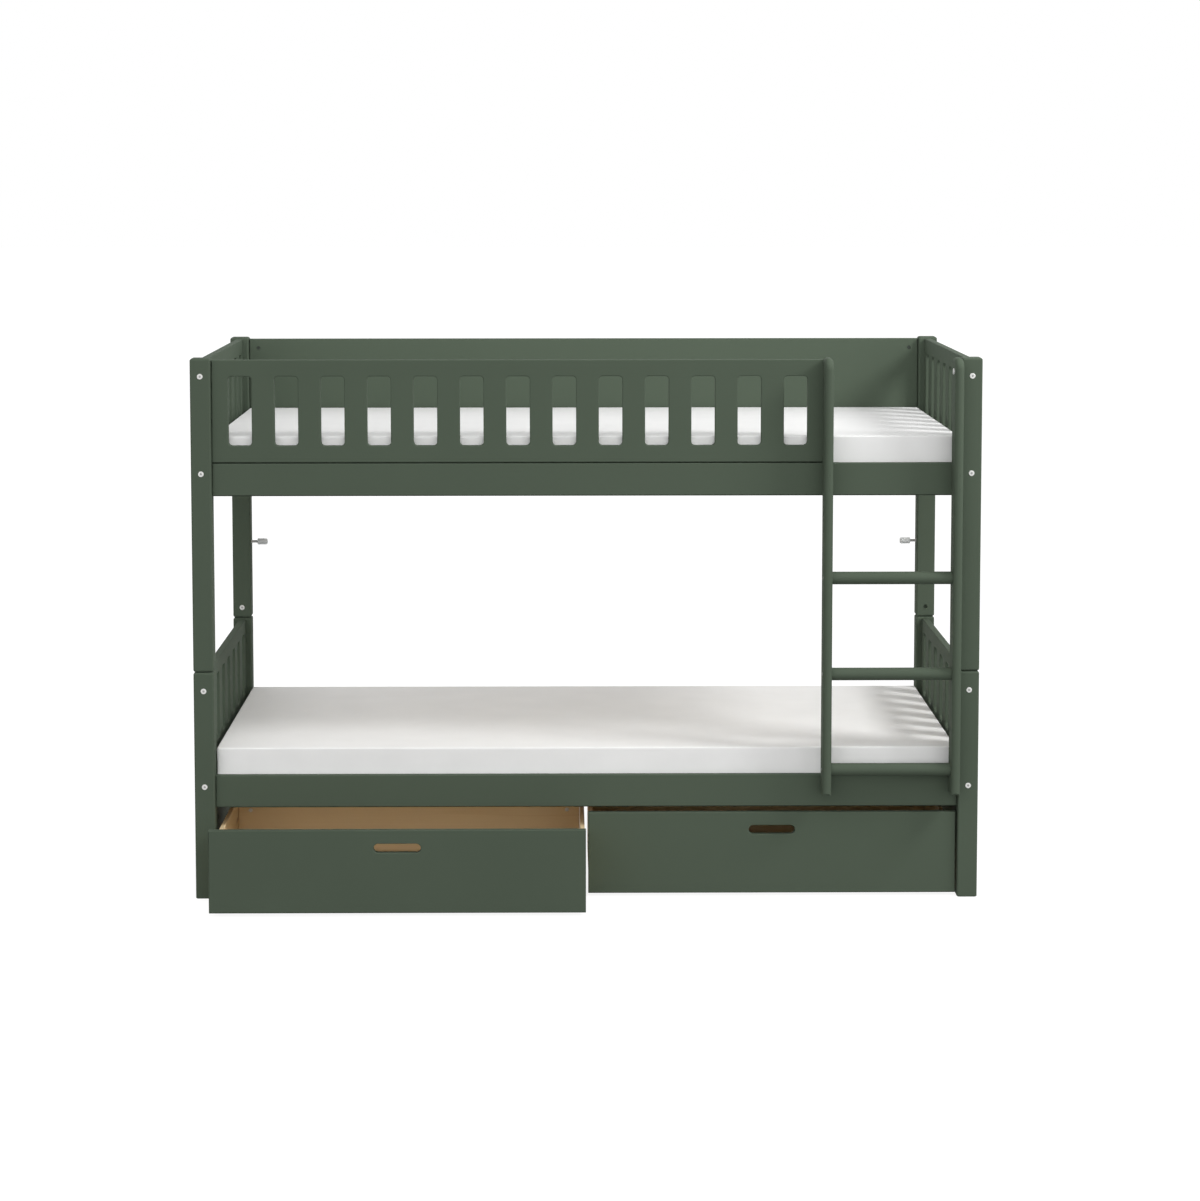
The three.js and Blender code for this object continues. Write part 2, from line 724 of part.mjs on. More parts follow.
// A wheel with its axle through the middle
function wheel(x, y) {
  const half = wheelWidth / 2;
  const reach = castorHalf + axleOverhang;
  const profile = [
    [0, -reach],
    [axleRadius, -reach],
    [axleRadius, -half],
    [wheelRadius, -half],
    [wheelRadius, half],
    [axleRadius, half],
    [axleRadius, reach],
    [0, reach],
  ].map(([radius, along]) => new THREE.Vector2(radius, along));
  const geometry = new THREE.LatheGeometry(profile, 16);
  geometry.rotateZ(-Math.PI / 2);
  return solidOf(geometry.translate(x, y, wheelRadius));
}

function castor(x, y) {
  const plate = block(
    x - castorHalf,
    x + castorHalf,
    y - plateDepth / 2,
    y + plateDepth / 2,
    plateTop - plateThickness,
    plateTop,
  );
  const cheeks = [-castorHalf, castorHalf - cheekThickness].map((edge) => block(
    x + edge,
    x + edge + cheekThickness,
    y - cheekDepth / 2,
    y + cheekDepth / 2,
    wheelRadius - cheekDrop,
    plateTop,
  ));
  const along = away(point(x, y, wheelRadius), X);
  const axleBore = rod(axleRadius + boreClear, along(-2 * castorHalf), along(2 * castorHalf), 8);
  return joined([plate, ...cheeks]).subtract(axleBore);
}

function addDrawer(side, sx, face) {
  const piece = (name) => `drawer_${side}_${name}`;
  const span = (near, far) => [Math.min(sx * near, sx * far), Math.max(sx * near, sx * far)];
  const nearEdge = drawerMiddleGap / 2;
  const farEdge = postInner - drawerPostGap;
  const nearWall = nearEdge + drawerInnerInset;
  const farWall = farEdge - drawerOuterInset;
  const frontBack = face + drawerFrontThickness;
  const sideStart = frontBack + seatGap;
  const back = face + drawerDepth;
  const backStart = back - drawerWall;
  const bottomInset = drawerWall - grooveDepth + seatGap;

  const bottomX = span(nearWall + bottomInset, farWall - bottomInset);
  const bottomStart = frontBack - grooveDepth + seatGap;
  const groove = block(
    bottomX[0] - seatGap,
    bottomX[1] + seatGap,
    bottomStart - seatGap,
    back + 1,
    drawerFloor - seatGap,
    drawerFloorTop + seatGap,
  );
  addTo(boresIn, piece('front'), [groove]);
  addTo(boresIn, piece('side_outer'), [groove]);
  addTo(boresIn, piece('side_inner'), [groove]);

  const frontMiddleY = face + drawerFrontThickness / 2;
  const handSlot = boardAlong(
    roundedSlot(
      sx * (nearEdge + farEdge) / 2,
      drawerFrontTop - handSlotDrop,
      handSlotWidth,
      handSlotHeight,
      handSlotHeight / 2 - seatGap,
    ),
    frontMiddleY,
    2 * drawerFrontThickness,
    0,
    3,
  );
  const frontOutline = rectangle(...span(nearEdge, farEdge), drawerFloorGap, drawerFrontTop);
  const front = boardAlong(frontOutline, frontMiddleY, drawerFrontThickness, boardEdge);
  addPiece(piece('front'), front.subtract(handSlot), 'greenPaint');

  const sideOutline = rectangle(sideStart, back, drawerSideBottom, drawerSideTop);
  const sideMiddles = {
    side_inner: sx * (nearWall + drawerWall / 2),
    side_outer: sx * (farWall - drawerWall / 2),
  };
  for (const [name, middle] of Object.entries(sideMiddles)) {
    addPiece(piece(name), boardAcross(sideOutline, middle, drawerWall, drawerEdge), 'pine');
  }
  addPiece(
    piece('bottom'),
    block(...bottomX, bottomStart, back, drawerFloor, drawerFloorTop),
    'plywood',
  );

  const backX = span(nearWall + drawerWall + seatGap, farWall - drawerWall - seatGap);
  const backOutline = rectangle(...backX, drawerFloorTop + seatGap, drawerSideTop);
  const backBoard = boardAlong(backOutline, backStart + drawerWall / 2, drawerWall, drawerEdge);
  for (const x of [nearWall + drawerWall + fixingInset, farWall - drawerWall - fixingInset]) {
    const deep = away(point(sx * x, backStart, drawerSideTop - fixingDrop), Y);
    addTo(fastenersOn, piece('back'), [rod(fixingRadius, deep(-fixingProud), deep(fixingProud), 12)]);
  }
  addPiece(piece('back'), backBoard, 'pine');

  const wheelColumns = {
    inner: sx * (nearWall + drawerWall + wheelSideInset),
    outer: sx * (farWall - drawerWall - wheelSideInset),
  };
  const wheelRows = { front: frontBack + wheelEndInset, back: backStart - wheelEndInset };
  for (const [row, y] of Object.entries(wheelRows)) {
    for (const [column, x] of Object.entries(wheelColumns)) {
      addPiece(piece(`castor_${row}_${column}`), castor(x, y), 'steel');
      addPiece(piece(`wheel_${row}_${column}`), wheel(x, y), 'wheelPlastic');
    }
  }
}

addDrawer('left', -1, drawerSetBack - drawerPulledOut);
addDrawer('right', 1, drawerSetBack);

// The origin lies on the floor under the middle of everything
const foremost = Math.min(poleFront, drawerSetBack - drawerPulledOut);
const rearmost = bedDepth + capProud;
bed.position.y = -(foremost + rearmost) / 2;

export default bed;
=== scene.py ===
import math

import bmesh
import bpy
import numpy as np
from mathutils import Matrix, Quaternion, Vector, geometry, noise


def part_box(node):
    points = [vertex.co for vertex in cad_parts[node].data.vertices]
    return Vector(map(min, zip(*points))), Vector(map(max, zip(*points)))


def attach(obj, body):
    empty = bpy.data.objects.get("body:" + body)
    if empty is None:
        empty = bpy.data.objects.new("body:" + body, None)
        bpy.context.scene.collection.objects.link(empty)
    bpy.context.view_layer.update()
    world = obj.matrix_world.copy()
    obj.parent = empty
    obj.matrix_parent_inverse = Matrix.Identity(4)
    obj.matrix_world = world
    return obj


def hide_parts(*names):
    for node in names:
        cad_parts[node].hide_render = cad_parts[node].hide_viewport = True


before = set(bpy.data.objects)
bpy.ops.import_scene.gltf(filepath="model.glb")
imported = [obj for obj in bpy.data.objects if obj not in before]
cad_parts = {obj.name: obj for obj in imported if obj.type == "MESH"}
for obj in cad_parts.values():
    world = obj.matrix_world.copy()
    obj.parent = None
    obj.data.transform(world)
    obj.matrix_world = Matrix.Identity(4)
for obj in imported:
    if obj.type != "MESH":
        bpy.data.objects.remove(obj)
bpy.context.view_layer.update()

scene = bpy.context.scene

# Bed coordinates in millimetres: X from the bed's middle, Y from the posts' front faces, Z up
POST = 54.0
BOARD = 20.0
EDGE = 2.6
SEAT_GAP = 0.3
SLOT_SIZE = (62.5, 185.0)
SLOT_CORNER = 10.0
SLOT_PITCH = 123.25
SLOT_DROP = {"lower": 38.0, "upper": 44.0}
GUARD_SLOT_MARGIN = 44.5
POLE = 24.0
FRONT_MIDDLE = POST / 2
Y_SHIFT = FRONT_MIDDLE - 500 * (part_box("guard_front")[0].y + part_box("guard_front")[1].y)


def at(x, y, z):
    return Vector((x, y - Y_SHIFT, z)) / 1000


def span(node):
    """A node's box at rest, in bed millimetres: lowest and highest corner."""
    lo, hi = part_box(node)
    return ([lo.x * 1000, lo.y * 1000 + Y_SHIFT, lo.z * 1000],
            [hi.x * 1000, hi.y * 1000 + Y_SHIFT, hi.z * 1000])


def middle_of(node, axis):
    lo, hi = span(node)
    return (lo[axis] + hi[axis]) / 2


BACK_MIDDLE = middle_of("guard_back", 1)
DEPTH = BACK_MIDDLE + POST / 2
BOARD_END = span("guard_back")[1][0]
POST_INNER = BOARD_END + SEAT_GAP
HALF_LENGTH = POST_INNER + POST
POST_MIDDLE = HALF_LENGTH - POST / 2
POST_TOP = span("post_upper_front_left")[1][2]
POST_SPLIT = span("post_upper_front_left")[0][2] - SEAT_GAP
LADDER = {"left": span("ladder_pole_left")[0][0] + POLE / 2,
          "right": span("ladder_pole_right")[1][0] - POLE / 2}
POLE_FRONT = span("ladder_pole_left")[0][1]
POLE_DEPTH = 65.0
RAIL_HEIGHT = 87.5
RUNG_Y = middle_of("ladder_rung_1", 1)
GUARD_LOW, GUARD_TOP = span("guard_front")[0][2], span("guard_front")[1][2]


# Materials
def node(tree, kind, inputs=None, **props):
    made = tree.nodes.new(kind)
    for key, value in props.items():
        setattr(made, key, value)
    for key, value in (inputs or {}).items():
        if isinstance(value, bpy.types.NodeSocket):
            tree.links.new(value, made.inputs[key])
        else:
            made.inputs[key].default_value = value
    return made


def material(name, roughness, **sockets):
    made = bpy.data.materials.new(name)
    made.use_nodes = True
    shader = made.node_tree.nodes["Principled BSDF"]
    shader.inputs["Roughness"].default_value = roughness
    for key, value in sockets.items():
        shader.inputs[key.replace("_", " ")].default_value = value
    return made, made.node_tree, shader


def grain_of(tree, stretch):
    """The piece's own grain coordinates, scaled along, across and into the wood."""
    grain = node(tree, "ShaderNodeAttribute", attribute_name="grain").outputs["Vector"]
    return node(tree, "ShaderNodeVectorMath", {0: grain, 1: stretch}, operation="MULTIPLY").outputs[0]


def ramp(tree, fac, stops):
    made = node(tree, "ShaderNodeValToRGB", {0: fac})
    for index, (place, colour) in enumerate(stops):
        element = made.color_ramp.elements[index] if index < 2 else made.color_ramp.elements.new(place)
        element.position = place
        element.color = (*colour, 1)
    return made.outputs[0]


def noise_at(tree, vector, scale, detail=2.0, rough=0.5):
    return node(tree, "ShaderNodeTexNoise",
                {"Vector": vector, "Scale": scale, "Detail": detail, "Roughness": rough}).outputs["Fac"]


def bumped(tree, shader, height, distance, strength=1.0, under=None):
    inputs = {"Height": height, "Distance": distance, "Strength": strength}
    if under is not None:
        inputs["Normal"] = under
    made = node(tree, "ShaderNodeBump", inputs)
    tree.links.new(made.outputs[0], shader.inputs["Normal"])
    return made.outputs[0]


def maths(tree, operation, first, second=0.0):
    return node(tree, "ShaderNodeMath", {0: first, 1: second}, operation=operation).outputs[0]


def spread(tree, value, low, high):
    return node(tree, "ShaderNodeMapRange", {"Value": value, "To Min": low, "To Max": high}).outputs[0]


def make_paint():
    """Matt green with a slow change of tone, brushed along the grain."""
    made, tree, shader = material("green_paint", 0.80, Specular_IOR_Level=0.12)
    place = node(tree, "ShaderNodeTexCoord").outputs["Object"]
    cloud = noise_at(tree, place, 3.0, 3.0)
    tone = ramp(tree, cloud, [(0.35, (0.0768, 0.1002, 0.0720)), (0.65, (0.0796, 0.1038, 0.0746))])
    tree.links.new(tone, shader.inputs["Base Color"])
    fibres = noise_at(tree, grain_of(tree, (2.0, 240.0, 240.0)), 1.0, 3.0)
    peel = noise_at(tree, place, 420.0, 2.0)
    rough = spread(tree, noise_at(tree, place, 22.0, 3.0), 0.76, 0.84)
    tree.links.new(rough, shader.inputs["Roughness"])
    first = bumped(tree, shader, fibres, 0.00010)
    bumped(tree, shader, peel, 0.00004, 1.0, first)
    return made


def make_wood(name, light, dark, ring_scale, knots):
    """Wavy growth lines and fine fibres along the grain, with small knots if they are wanted."""
    made, tree, shader = material(name, 0.5)
    waves_in_noise = 22.0
    knot_brown = (0.26, 0.13, 0.055, 1)
    warp = noise_at(tree, grain_of(tree, (1.1, 9.0, 9.0)), 1.0, 3.0)
    rings = noise_at(tree, grain_of(tree, (0.5, ring_scale, ring_scale)), 1.0, 4.0, 0.6)
    waves = maths(tree, "MULTIPLY", maths(tree, "ADD", rings, warp), waves_in_noise)
    level = spread(tree, maths(tree, "MULTIPLY", maths(tree, "SINE", waves), 0.5), 0.4, 0.85)
    fibres = noise_at(tree, grain_of(tree, (5.0, 700.0, 700.0)), 1.0, 2.0)
    mixed = maths(tree, "ADD", level, spread(tree, fibres, -0.16, 0.16))
    tone = ramp(tree, mixed, [(0.2, light), (0.95, dark)])
    if knots:
        cells = {"Vector": grain_of(tree, (2.6, 12.0, 12.0)), "Scale": 1.0}
        spots = node(tree, "ShaderNodeTexVoronoi", cells, feature="F1").outputs["Distance"]
        knot = ramp(tree, spots, [(0.05, (0.6, 0.6, 0.6)), (0.12, (0, 0, 0))])
        tone = node(tree, "ShaderNodeMixRGB", {0: knot, 1: tone, 2: knot_brown}).outputs[0]
    tree.links.new(tone, shader.inputs["Base Color"])
    tree.links.new(spread(tree, fibres, 0.46, 0.62), shader.inputs["Roughness"])
    bumped(tree, shader, fibres, 0.00008)
    return made


def make_cover():
    """White knitted cover with a fine weave."""
    made, tree, shader = material("mattress_cover", 0.85, Sheen_Weight=0.15, Sheen_Roughness=0.5)
    place = node(tree, "ShaderNodeTexCoord").outputs["Object"]
    stops = [(0.3, (0.845, 0.845, 0.838)), (0.7, (0.875, 0.875, 0.868))]
    tone = ramp(tree, noise_at(tree, place, 9.0, 4.0), stops)
    tree.links.new(tone, shader.inputs["Base Color"])
    threads_at = {"Vector": place, "Scale": 190.0, "Distortion": 0.6, "Detail": 1.0}
    ribs = [node(tree, "ShaderNodeTexWave", threads_at, bands_direction=axis).outputs["Fac"]
            for axis in ("X", "Y", "Z")]
    weave = maths(tree, "ADD", maths(tree, "ADD", ribs[0], ribs[1]), ribs[2])
    first = bumped(tree, shader, weave, 0.0002, 0.5)
    bumped(tree, shader, noise_at(tree, place, 34.0, 3.0), 0.0012, 0.35, first)
    return made


def make_plain(name, colour, roughness, scale, depth, **sockets):
    """One colour with a fine speck in its tone, gloss and surface."""
    made, tree, shader = material(name, roughness, **sockets)
    place = node(tree, "ShaderNodeTexCoord").outputs["Object"]
    speck = noise_at(tree, place, scale, 3.0)
    darker = tuple(part * 0.93 for part in colour)
    tree.links.new(ramp(tree, speck, [(0.3, darker), (0.7, colour)]), shader.inputs["Base Color"])
    tree.links.new(spread(tree, speck, roughness * 0.85, roughness * 1.15), shader.inputs["Roughness"])
    bumped(tree, shader, speck, depth)
    return made


PAINT = make_paint()
PINE = make_wood("pine", (0.83, 0.65, 0.40), (0.73, 0.54, 0.30), 26.0, True)
PLY = make_wood("plywood", (0.83, 0.66, 0.42), (0.76, 0.58, 0.34), 10.0, False)
COVER = make_cover()
WHITE = make_plain("white_plastic", (0.80, 0.80, 0.78), 0.35, 300.0, 0.00003)
GREY = make_plain("grey_plastic", (0.36, 0.36, 0.35), 0.45, 300.0, 0.00003)
CLEAR = make_plain("clear_plastic", (0.86, 0.88, 0.88), 0.22, 120.0, 0.00003,
                   Transmission_Weight=0.45, IOR=1.47)
STEEL = make_plain("steel", (0.56, 0.56, 0.55), 0.33, 500.0, 0.00002, Metallic=1.0)
# Barrel nuts: dark steel, made darker still and tinted towards the paint as painted shade, so that their
# pockets look shaded
DARK_STEEL_AND_SHADE = make_plain("dark_steel_and_painted_shade", (0.05, 0.062, 0.05), 0.5, 500.0, 0.00002, Metallic=0.3)
RUBBER = make_plain("wheel_plastic", (0.035, 0.035, 0.036), 0.5, 400.0, 0.00004)
TAPE = make_plain("slat_tape", (0.62, 0.60, 0.55), 0.9, 900.0, 0.0002)


# Mesh building, in bed millimetres
class Build:
    """Collects closed shells of one piece."""

    def __init__(self):
        self.points = []
        self.faces = []

    def add(self, points, faces):
        start = len(self.points)
        self.points += points
        self.faces += [[start + index for index in face] for face in faces]

    def piece(self, name, finish, body, replaces=(), grain="x", smooth=32.0, weighted=True, saws=()):
        """Saws are (point, normal): what lies on the normal's side is sawn off flat."""
        mesh = bpy.data.meshes.new(name)
        mesh.from_pydata([at(*p) for p in self.points], [], self.faces)
        bm = bmesh.new()
        bm.from_mesh(mesh)
        for place, normal in saws:
            bmesh.ops.bisect_plane(bm, geom=bm.verts[:] + bm.edges[:] + bm.faces[:], plane_co=at(*place),
                                   plane_no=normal, clear_outer=True)
            bmesh.ops.holes_fill(bm, edges=[edge for edge in bm.edges if edge.is_boundary])
        bmesh.ops.recalc_face_normals(bm, faces=bm.faces)
        bm.to_mesh(mesh)
        bm.free()
        mesh.polygons.foreach_set("use_smooth", [True] * len(mesh.polygons))
        mesh.set_sharp_from_angle(angle=math.radians(smooth))
        write_grain(mesh, grain, name)
        mesh.materials.append(finish)
        made = bpy.data.objects.new(name, mesh)
        scene.collection.objects.link(made)
        if weighted:
            settle = made.modifiers.new("Weighted", "WEIGHTED_NORMAL")
            settle.keep_sharp = True
        return finished(made, body, replaces)


def finished(made, body, replaces=()):
    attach(made, body)
    if replaces:
        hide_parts(*replaces)
    return made


def write_grain(mesh, axis, name):
    """Along, across and deep coordinates of the wood, shifted for each piece by its name."""
    count = len(mesh.vertices)
    places = np.zeros(count * 3, np.float32)
    mesh.vertices.foreach_get("co", places)
    places = places.reshape(-1, 3)
    order = {"x": (0, 1, 2), "y": (1, 0, 2), "z": (2, 0, 1)}[axis]
    seed = sum((index + 1) * ord(letter) for index, letter in enumerate(name))
    shift = np.array([seed % 97 * 0.37, seed % 89 * 0.053, seed % 83 * 0.047], np.float32)
    values = (places[:, order] + shift).astype(np.float32)
    mesh.attributes.new("grain", "FLOAT_VECTOR", "POINT").data.foreach_set("vector", values.ravel())


def rectangle(u0, u1, v0, v1, corner=0.0, steps=3):
    """Counterclockwise outline, with rounded corners if a radius is given."""
    if corner <= 0:
        return [Vector(p) for p in ((u0, v0), (u1, v0), (u1, v1), (u0, v1))]
    centres = ((u1 - corner, v0 + corner), (u1 - corner, v1 - corner),
               (u0 + corner, v1 - corner), (u0 + corner, v0 + corner))
    return [Vector((u + corner * math.cos(angle), v + corner * math.sin(angle)))
            for quarter, (u, v) in enumerate(centres)
            for angle in ((quarter - 1 + step / steps) * math.pi / 2 for step in range(steps + 1))]


def circle(u, v, radius, sides=20):
    angles = [2 * math.pi * k / sides for k in range(sides)]
    return [Vector((u + radius * math.cos(angle), v + radius * math.sin(angle))) for angle in angles]


def inset(loop, distance):
    """Moves an outline towards its left side, which is where the wood is."""
    moved = []
    for index, here in enumerate(loop):
        before = (here - loop[index - 1]).normalized()
        after = (loop[(index + 1) % len(loop)] - here).normalized()
        sides = Vector((-before.y, before.x)) + Vector((-after.y, after.x))
        moved.append(here + sides * (distance * 2 / sides.length_squared))
    return moved


PLANES = {
    "xz": lambda middle: lambda u, v, w: (u, middle + w, v),
    "yz": lambda middle: lambda u, v, w: (middle + w, u, v),
    "xy": lambda middle: lambda u, v, w: (u, v, middle + w),
}


def add_board(build, outer, holes, thickness, edge, place, steps=3, pockets=()):
    """A board with rounded edges. Pockets are (circle outline, depth, side), side -1 or 1."""
    loops = [outer] + [list(reversed(hole)) for hole in holes]
    rings = []
    for side in (-1, 1):
        for step in range(steps + 1):
            angle = math.pi / 2 * step / steps
            deep = thickness / 2 - edge * (1 - math.cos(angle))
            rings.append((side, edge * (1 - math.sin(angle)), side * deep))
    rings = [ring for ring in rings if ring[0] < 0] + [ring for ring in reversed(rings) if ring[0] > 0]
    points, faces, caps = [], [], {-1: [], 1: []}
    for loop in loops:
        count, start = len(loop), len(points)
        for side, distance, w in rings:
            flat = inset(loop, distance) if distance else loop
            points += [place(p.x, p.y, w) for p in flat]
        for level in range(len(rings) - 1):
            for k in range(count):
                a, b = start + level * count + k, start + level * count + (k + 1) % count
                faces.append([a, b, b + count, a + count])
        for side, level in ((-1, 0), (1, len(rings) - 1)):
            flat = inset(loop, rings[level][1]) if rings[level][1] else loop
            caps[side].append((flat, list(range(start + level * count, start + (level + 1) * count))))
    for loop, depth, side in pockets:
        wound = list(reversed(loop))
        count, start = len(wound), len(points)
        for w in (side * thickness / 2, side * (thickness / 2 - depth)):
            points += [place(p.x, p.y, w) for p in wound]
        faces += [[start + k, start + (k + 1) % count, start + count + (k + 1) % count, start + count + k]
                  for k in range(count)]
        faces.append([start + count + k for k in range(count)])
        caps[side].append((wound, list(range(start, start + count))))
    for entries in caps.values():
        if len(entries) == 1 and len(entries[0][0]) == 4:
            faces.append(entries[0][1])
            continue
        names = [index for _, indices in entries for index in indices]
        flat = [[Vector((p.x, p.y, 0)) for p in loop] for loop, _ in entries]
        for triangle in geometry.tessellate_polygon(flat):
            faces.append([names[k] for k in triangle])
    build.add(points, faces)


def lathe(build, profile, base, direction, sides=24, phase=0.0):
    """A turned solid. The profile lists (radius, distance along direction), ends on the axis."""
    axis = Vector(direction).normalized()
    first = axis.orthogonal().normalized()
    second = axis.cross(first)
    points, faces, previous = [], [], None
    for radius, along in profile:
        centre = Vector(base) + axis * along
        start = len(points)
        if radius < 1e-6:
            points.append(tuple(centre))
            ring = [start] * sides
        else:
            for k in range(sides):
                angle = 2 * math.pi * k / sides + phase
                points.append(tuple(centre + (first * math.cos(angle) + second * math.sin(angle)) * radius))
            ring = list(range(start, start + sides))
        if previous:
            for k in range(sides):
                corners = [previous[k], previous[(k + 1) % sides], ring[(k + 1) % sides], ring[k]]
                face = [c for index, c in enumerate(corners) if c != corners[index - 1]]
                if len(face) > 2:
                    faces.append(face)
        previous = ring
    build.add(points, faces)


def rounded_rod(radius, length, edge, steps=3):
    """Profile of a rod whose two ends are rounded."""
    arc = [(radius - edge * (1 - math.sin(a)), edge * (1 - math.cos(a)))
           for a in (math.pi / 2 * k / steps for k in range(steps + 1))]
    return [(0, 0)] + arc + [(r, length - along) for r, along in reversed(arc)] + [(0, length)]


# Turned profiles, each a list of (radius, distance along the axis)
CAP_RIM = [(0, -0.4), (7.5, -0.4), (7.5, 0.25), (7.2, 0.6), (6.6, 0.8), (3.4, 0.8), (3.1, 0.5), (0, 0.5)]
CAP_PLUG = [(0, 0.3), (2.9, 0.3), (2.9, 0.55), (1.6, 0.66), (0, 0.66)]
POLE_SCREW = [(0, -0.5), (4.4, -0.5), (4.4, 0.1), (3.6, 0.35), (2.4, 0.35), (1.6, -0.3), (0, -0.3)]
RUNG_SCREW = [(0, -0.5), (4.4, -0.5), (4.4, -0.1), (3.4, 0.1), (2.0, 0.1), (1.4, -0.4), (0, -0.4)]
POLE_CAP = [(0, -0.4), (8.0, -0.4), (8.0, 1.8), (7.2, 2.8), (0, 2.8)]
DRAWER_CAP = [(0, -0.5), (5.5, -0.5), (5.5, 2.2), (4.4, 3.4), (1.2, 3.4), (1.0, 2.8), (0, 2.8)]
AXLE_HEAD = [(0, 0), (3.6, 0), (3.6, 0.6), (2.8, 1.0), (0, 1.0)]
WHEEL_SIDE = [(15.0, 4.0), (14.7, 5.2), (13.6, 6.0), (8.6, 6.0), (8.0, 5.2), (4.6, 5.2), (4.2, 6.4), (0, 6.4)]

# Posts
POST_ROUND = 4.5
FOOT_BEVEL = 2.5
END_BEVEL = 5.0
# The bevel of a post's end, as shares of its size: how far in, and how far from the end
BEVEL_STEPS = ((1.0, 0.0), (0.45, 0.35), (0.1, 0.8), (0.0, 1.25))


def add_post(name, sx, sy, z0, z1, foot, top):
    build = Build()
    middle = (sx * POST_MIDDLE, FRONT_MIDDLE if sy < 0 else BACK_MIDDLE)
    half = POST / 2
    levels = [(foot * inward, z0 + foot * rise) for inward, rise in BEVEL_STEPS]
    levels += [(top * inward, z1 - top * drop) for inward, drop in reversed(BEVEL_STEPS)]
    points, faces, count = [], [], 0
    for shrink, z in levels:
        ring = rectangle(middle[0] - half + shrink, middle[0] + half - shrink,
                         middle[1] - half + shrink, middle[1] + half - shrink, POST_ROUND, 4)
        count = len(ring)
        points += [(p.x, p.y, z) for p in ring]
    for level in range(len(levels) - 1):
        for k in range(count):
            a, b = level * count + k, level * count + (k + 1) % count
            faces.append([a, b, b + count, a + count])
    faces.append(list(reversed(range(count))))
    faces.append([len(points) - count + k for k in range(count)])
    build.add(points, faces)
    return build.piece(name + "_wood", PAINT, "bed_frame", [name], "z")


def cut(piece, base, direction, radius, depth):
    """A round recess in a finished piece."""
    build = Build()
    lathe(build, [(0, -1), (radius, -1), (radius, depth), (0, depth)], base, direction, 24)
    mesh = bpy.data.meshes.new("tool")
    mesh.from_pydata([at(*p) for p in build.points], [], build.faces)
    tool = bpy.data.objects.new("tool", mesh)
    scene.collection.objects.link(tool)
    modifier = piece.modifiers.new("Recess", "BOOLEAN")
    modifier.object = tool
    modifier.solver = "EXACT"
    with bpy.context.temp_override(object=piece, active_object=piece):
        bpy.ops.object.modifier_move_to_index(modifier="Recess", index=0)
        bpy.ops.object.modifier_apply(modifier="Recess")
    bpy.data.objects.remove(tool)


def add_cap(caps, centres, face, inward):
    """A white cap over a bolt: a low disc with a rounded rim and a grey plug in its middle."""
    outward = [-part for part in inward]
    lathe(caps, CAP_RIM, face, outward, 28)
    lathe(centres, CAP_PLUG, face, outward, 20)


POSTS = {}
for side, sx in (("left", -1), ("right", 1)):
    for row, sy in (("front", -1), ("back", 1)):
        POSTS["lower", row, side] = add_post(f"post_lower_{row}_{side}", sx, sy, 0, POST_SPLIT,
                                             FOOT_BEVEL, END_BEVEL)
        POSTS["upper", row, side] = add_post(f"post_upper_{row}_{side}", sx, sy, POST_SPLIT + SEAT_GAP,
                                             POST_TOP, END_BEVEL, END_BEVEL)

PANEL_BOLTS = {"lower": (565.0, 305.0), "upper": (1409.0, 1149.0)}
RAIL_BOLTS = {"lower": 276.5, "upper": 1119.0}
GUARD_BOLT = 1425.0
RAIL_NUT = 28.0
PANEL_NUT = 22.0
LOCK_RISE = 30.7
LOCK_Z = POST_SPLIT + LOCK_RISE
LOCK_RECESS = (6.2, 9.0)
caps, centres, nuts = Build(), Build(), Build()
for side, sx in (("left", -1), ("right", 1)):
    for row, sy in (("front", -1), ("back", 1)):
        face_y = 0 if sy < 0 else DEPTH
        middle_y = FRONT_MIDDLE if sy < 0 else BACK_MIDDLE
        for level in ("lower", "upper"):
            for z in PANEL_BOLTS[level]:
                add_cap(caps, centres, (sx * POST_MIDDLE, face_y, z), (0, -sy, 0))
            add_cap(caps, centres, (sx * HALF_LENGTH, middle_y, RAIL_BOLTS[level]), (-sx, 0, 0))
        if row == "back" or side == "left":
            add_cap(caps, centres, (sx * HALF_LENGTH, middle_y, GUARD_BOLT), (-sx, 0, 0))
        inner_y = POST if sy < 0 else DEPTH - POST
        if row == "front" or side == "left":
            add_cap(caps, centres, (sx * POST_MIDDLE, inner_y, LOCK_Z), (0, sy, 0))
cut(POSTS["upper", "back", "right"], (POST_MIDDLE, DEPTH - POST, LOCK_Z), (0, 1, 0), *LOCK_RECESS)
caps.piece("bolt_caps", WHITE, "bed_frame", smooth=50)
centres.piece("bolt_cap_centres", GREY, "bed_frame", smooth=50)


# Rails, guards and end panels
BOARD_CORNER = 1.0
GUARD_SLOTS = 13
PANEL_SLOTS = 7
POCKET_RADIUS = 5.4
POCKET_DEPTH = 16.0
NUT_RADIUS = 4.9
NUT_LENGTH = 14.0
# From the board's middle to the end of the nut that shows in its pocket
NUT_REACH = 8.5
reach = POST_INNER - RAIL_NUT


def nut_pocket(u, v, side):
    return circle(u, v, POCKET_RADIUS), POCKET_DEPTH, side


def add_nut(base, direction):
    """A steel barrel nut, deep in its pocket. Its dark colour is partly painted shade, which darkens the
    pocket.
    """
    lathe(nuts, rounded_rod(NUT_RADIUS, NUT_LENGTH, 0.6, 2), base, direction, 20)


def slot_holes(middles, low):
    width, height = SLOT_SIZE
    return [rectangle(m - width / 2, m + width / 2, low, low + height, SLOT_CORNER, 6) for m in middles]


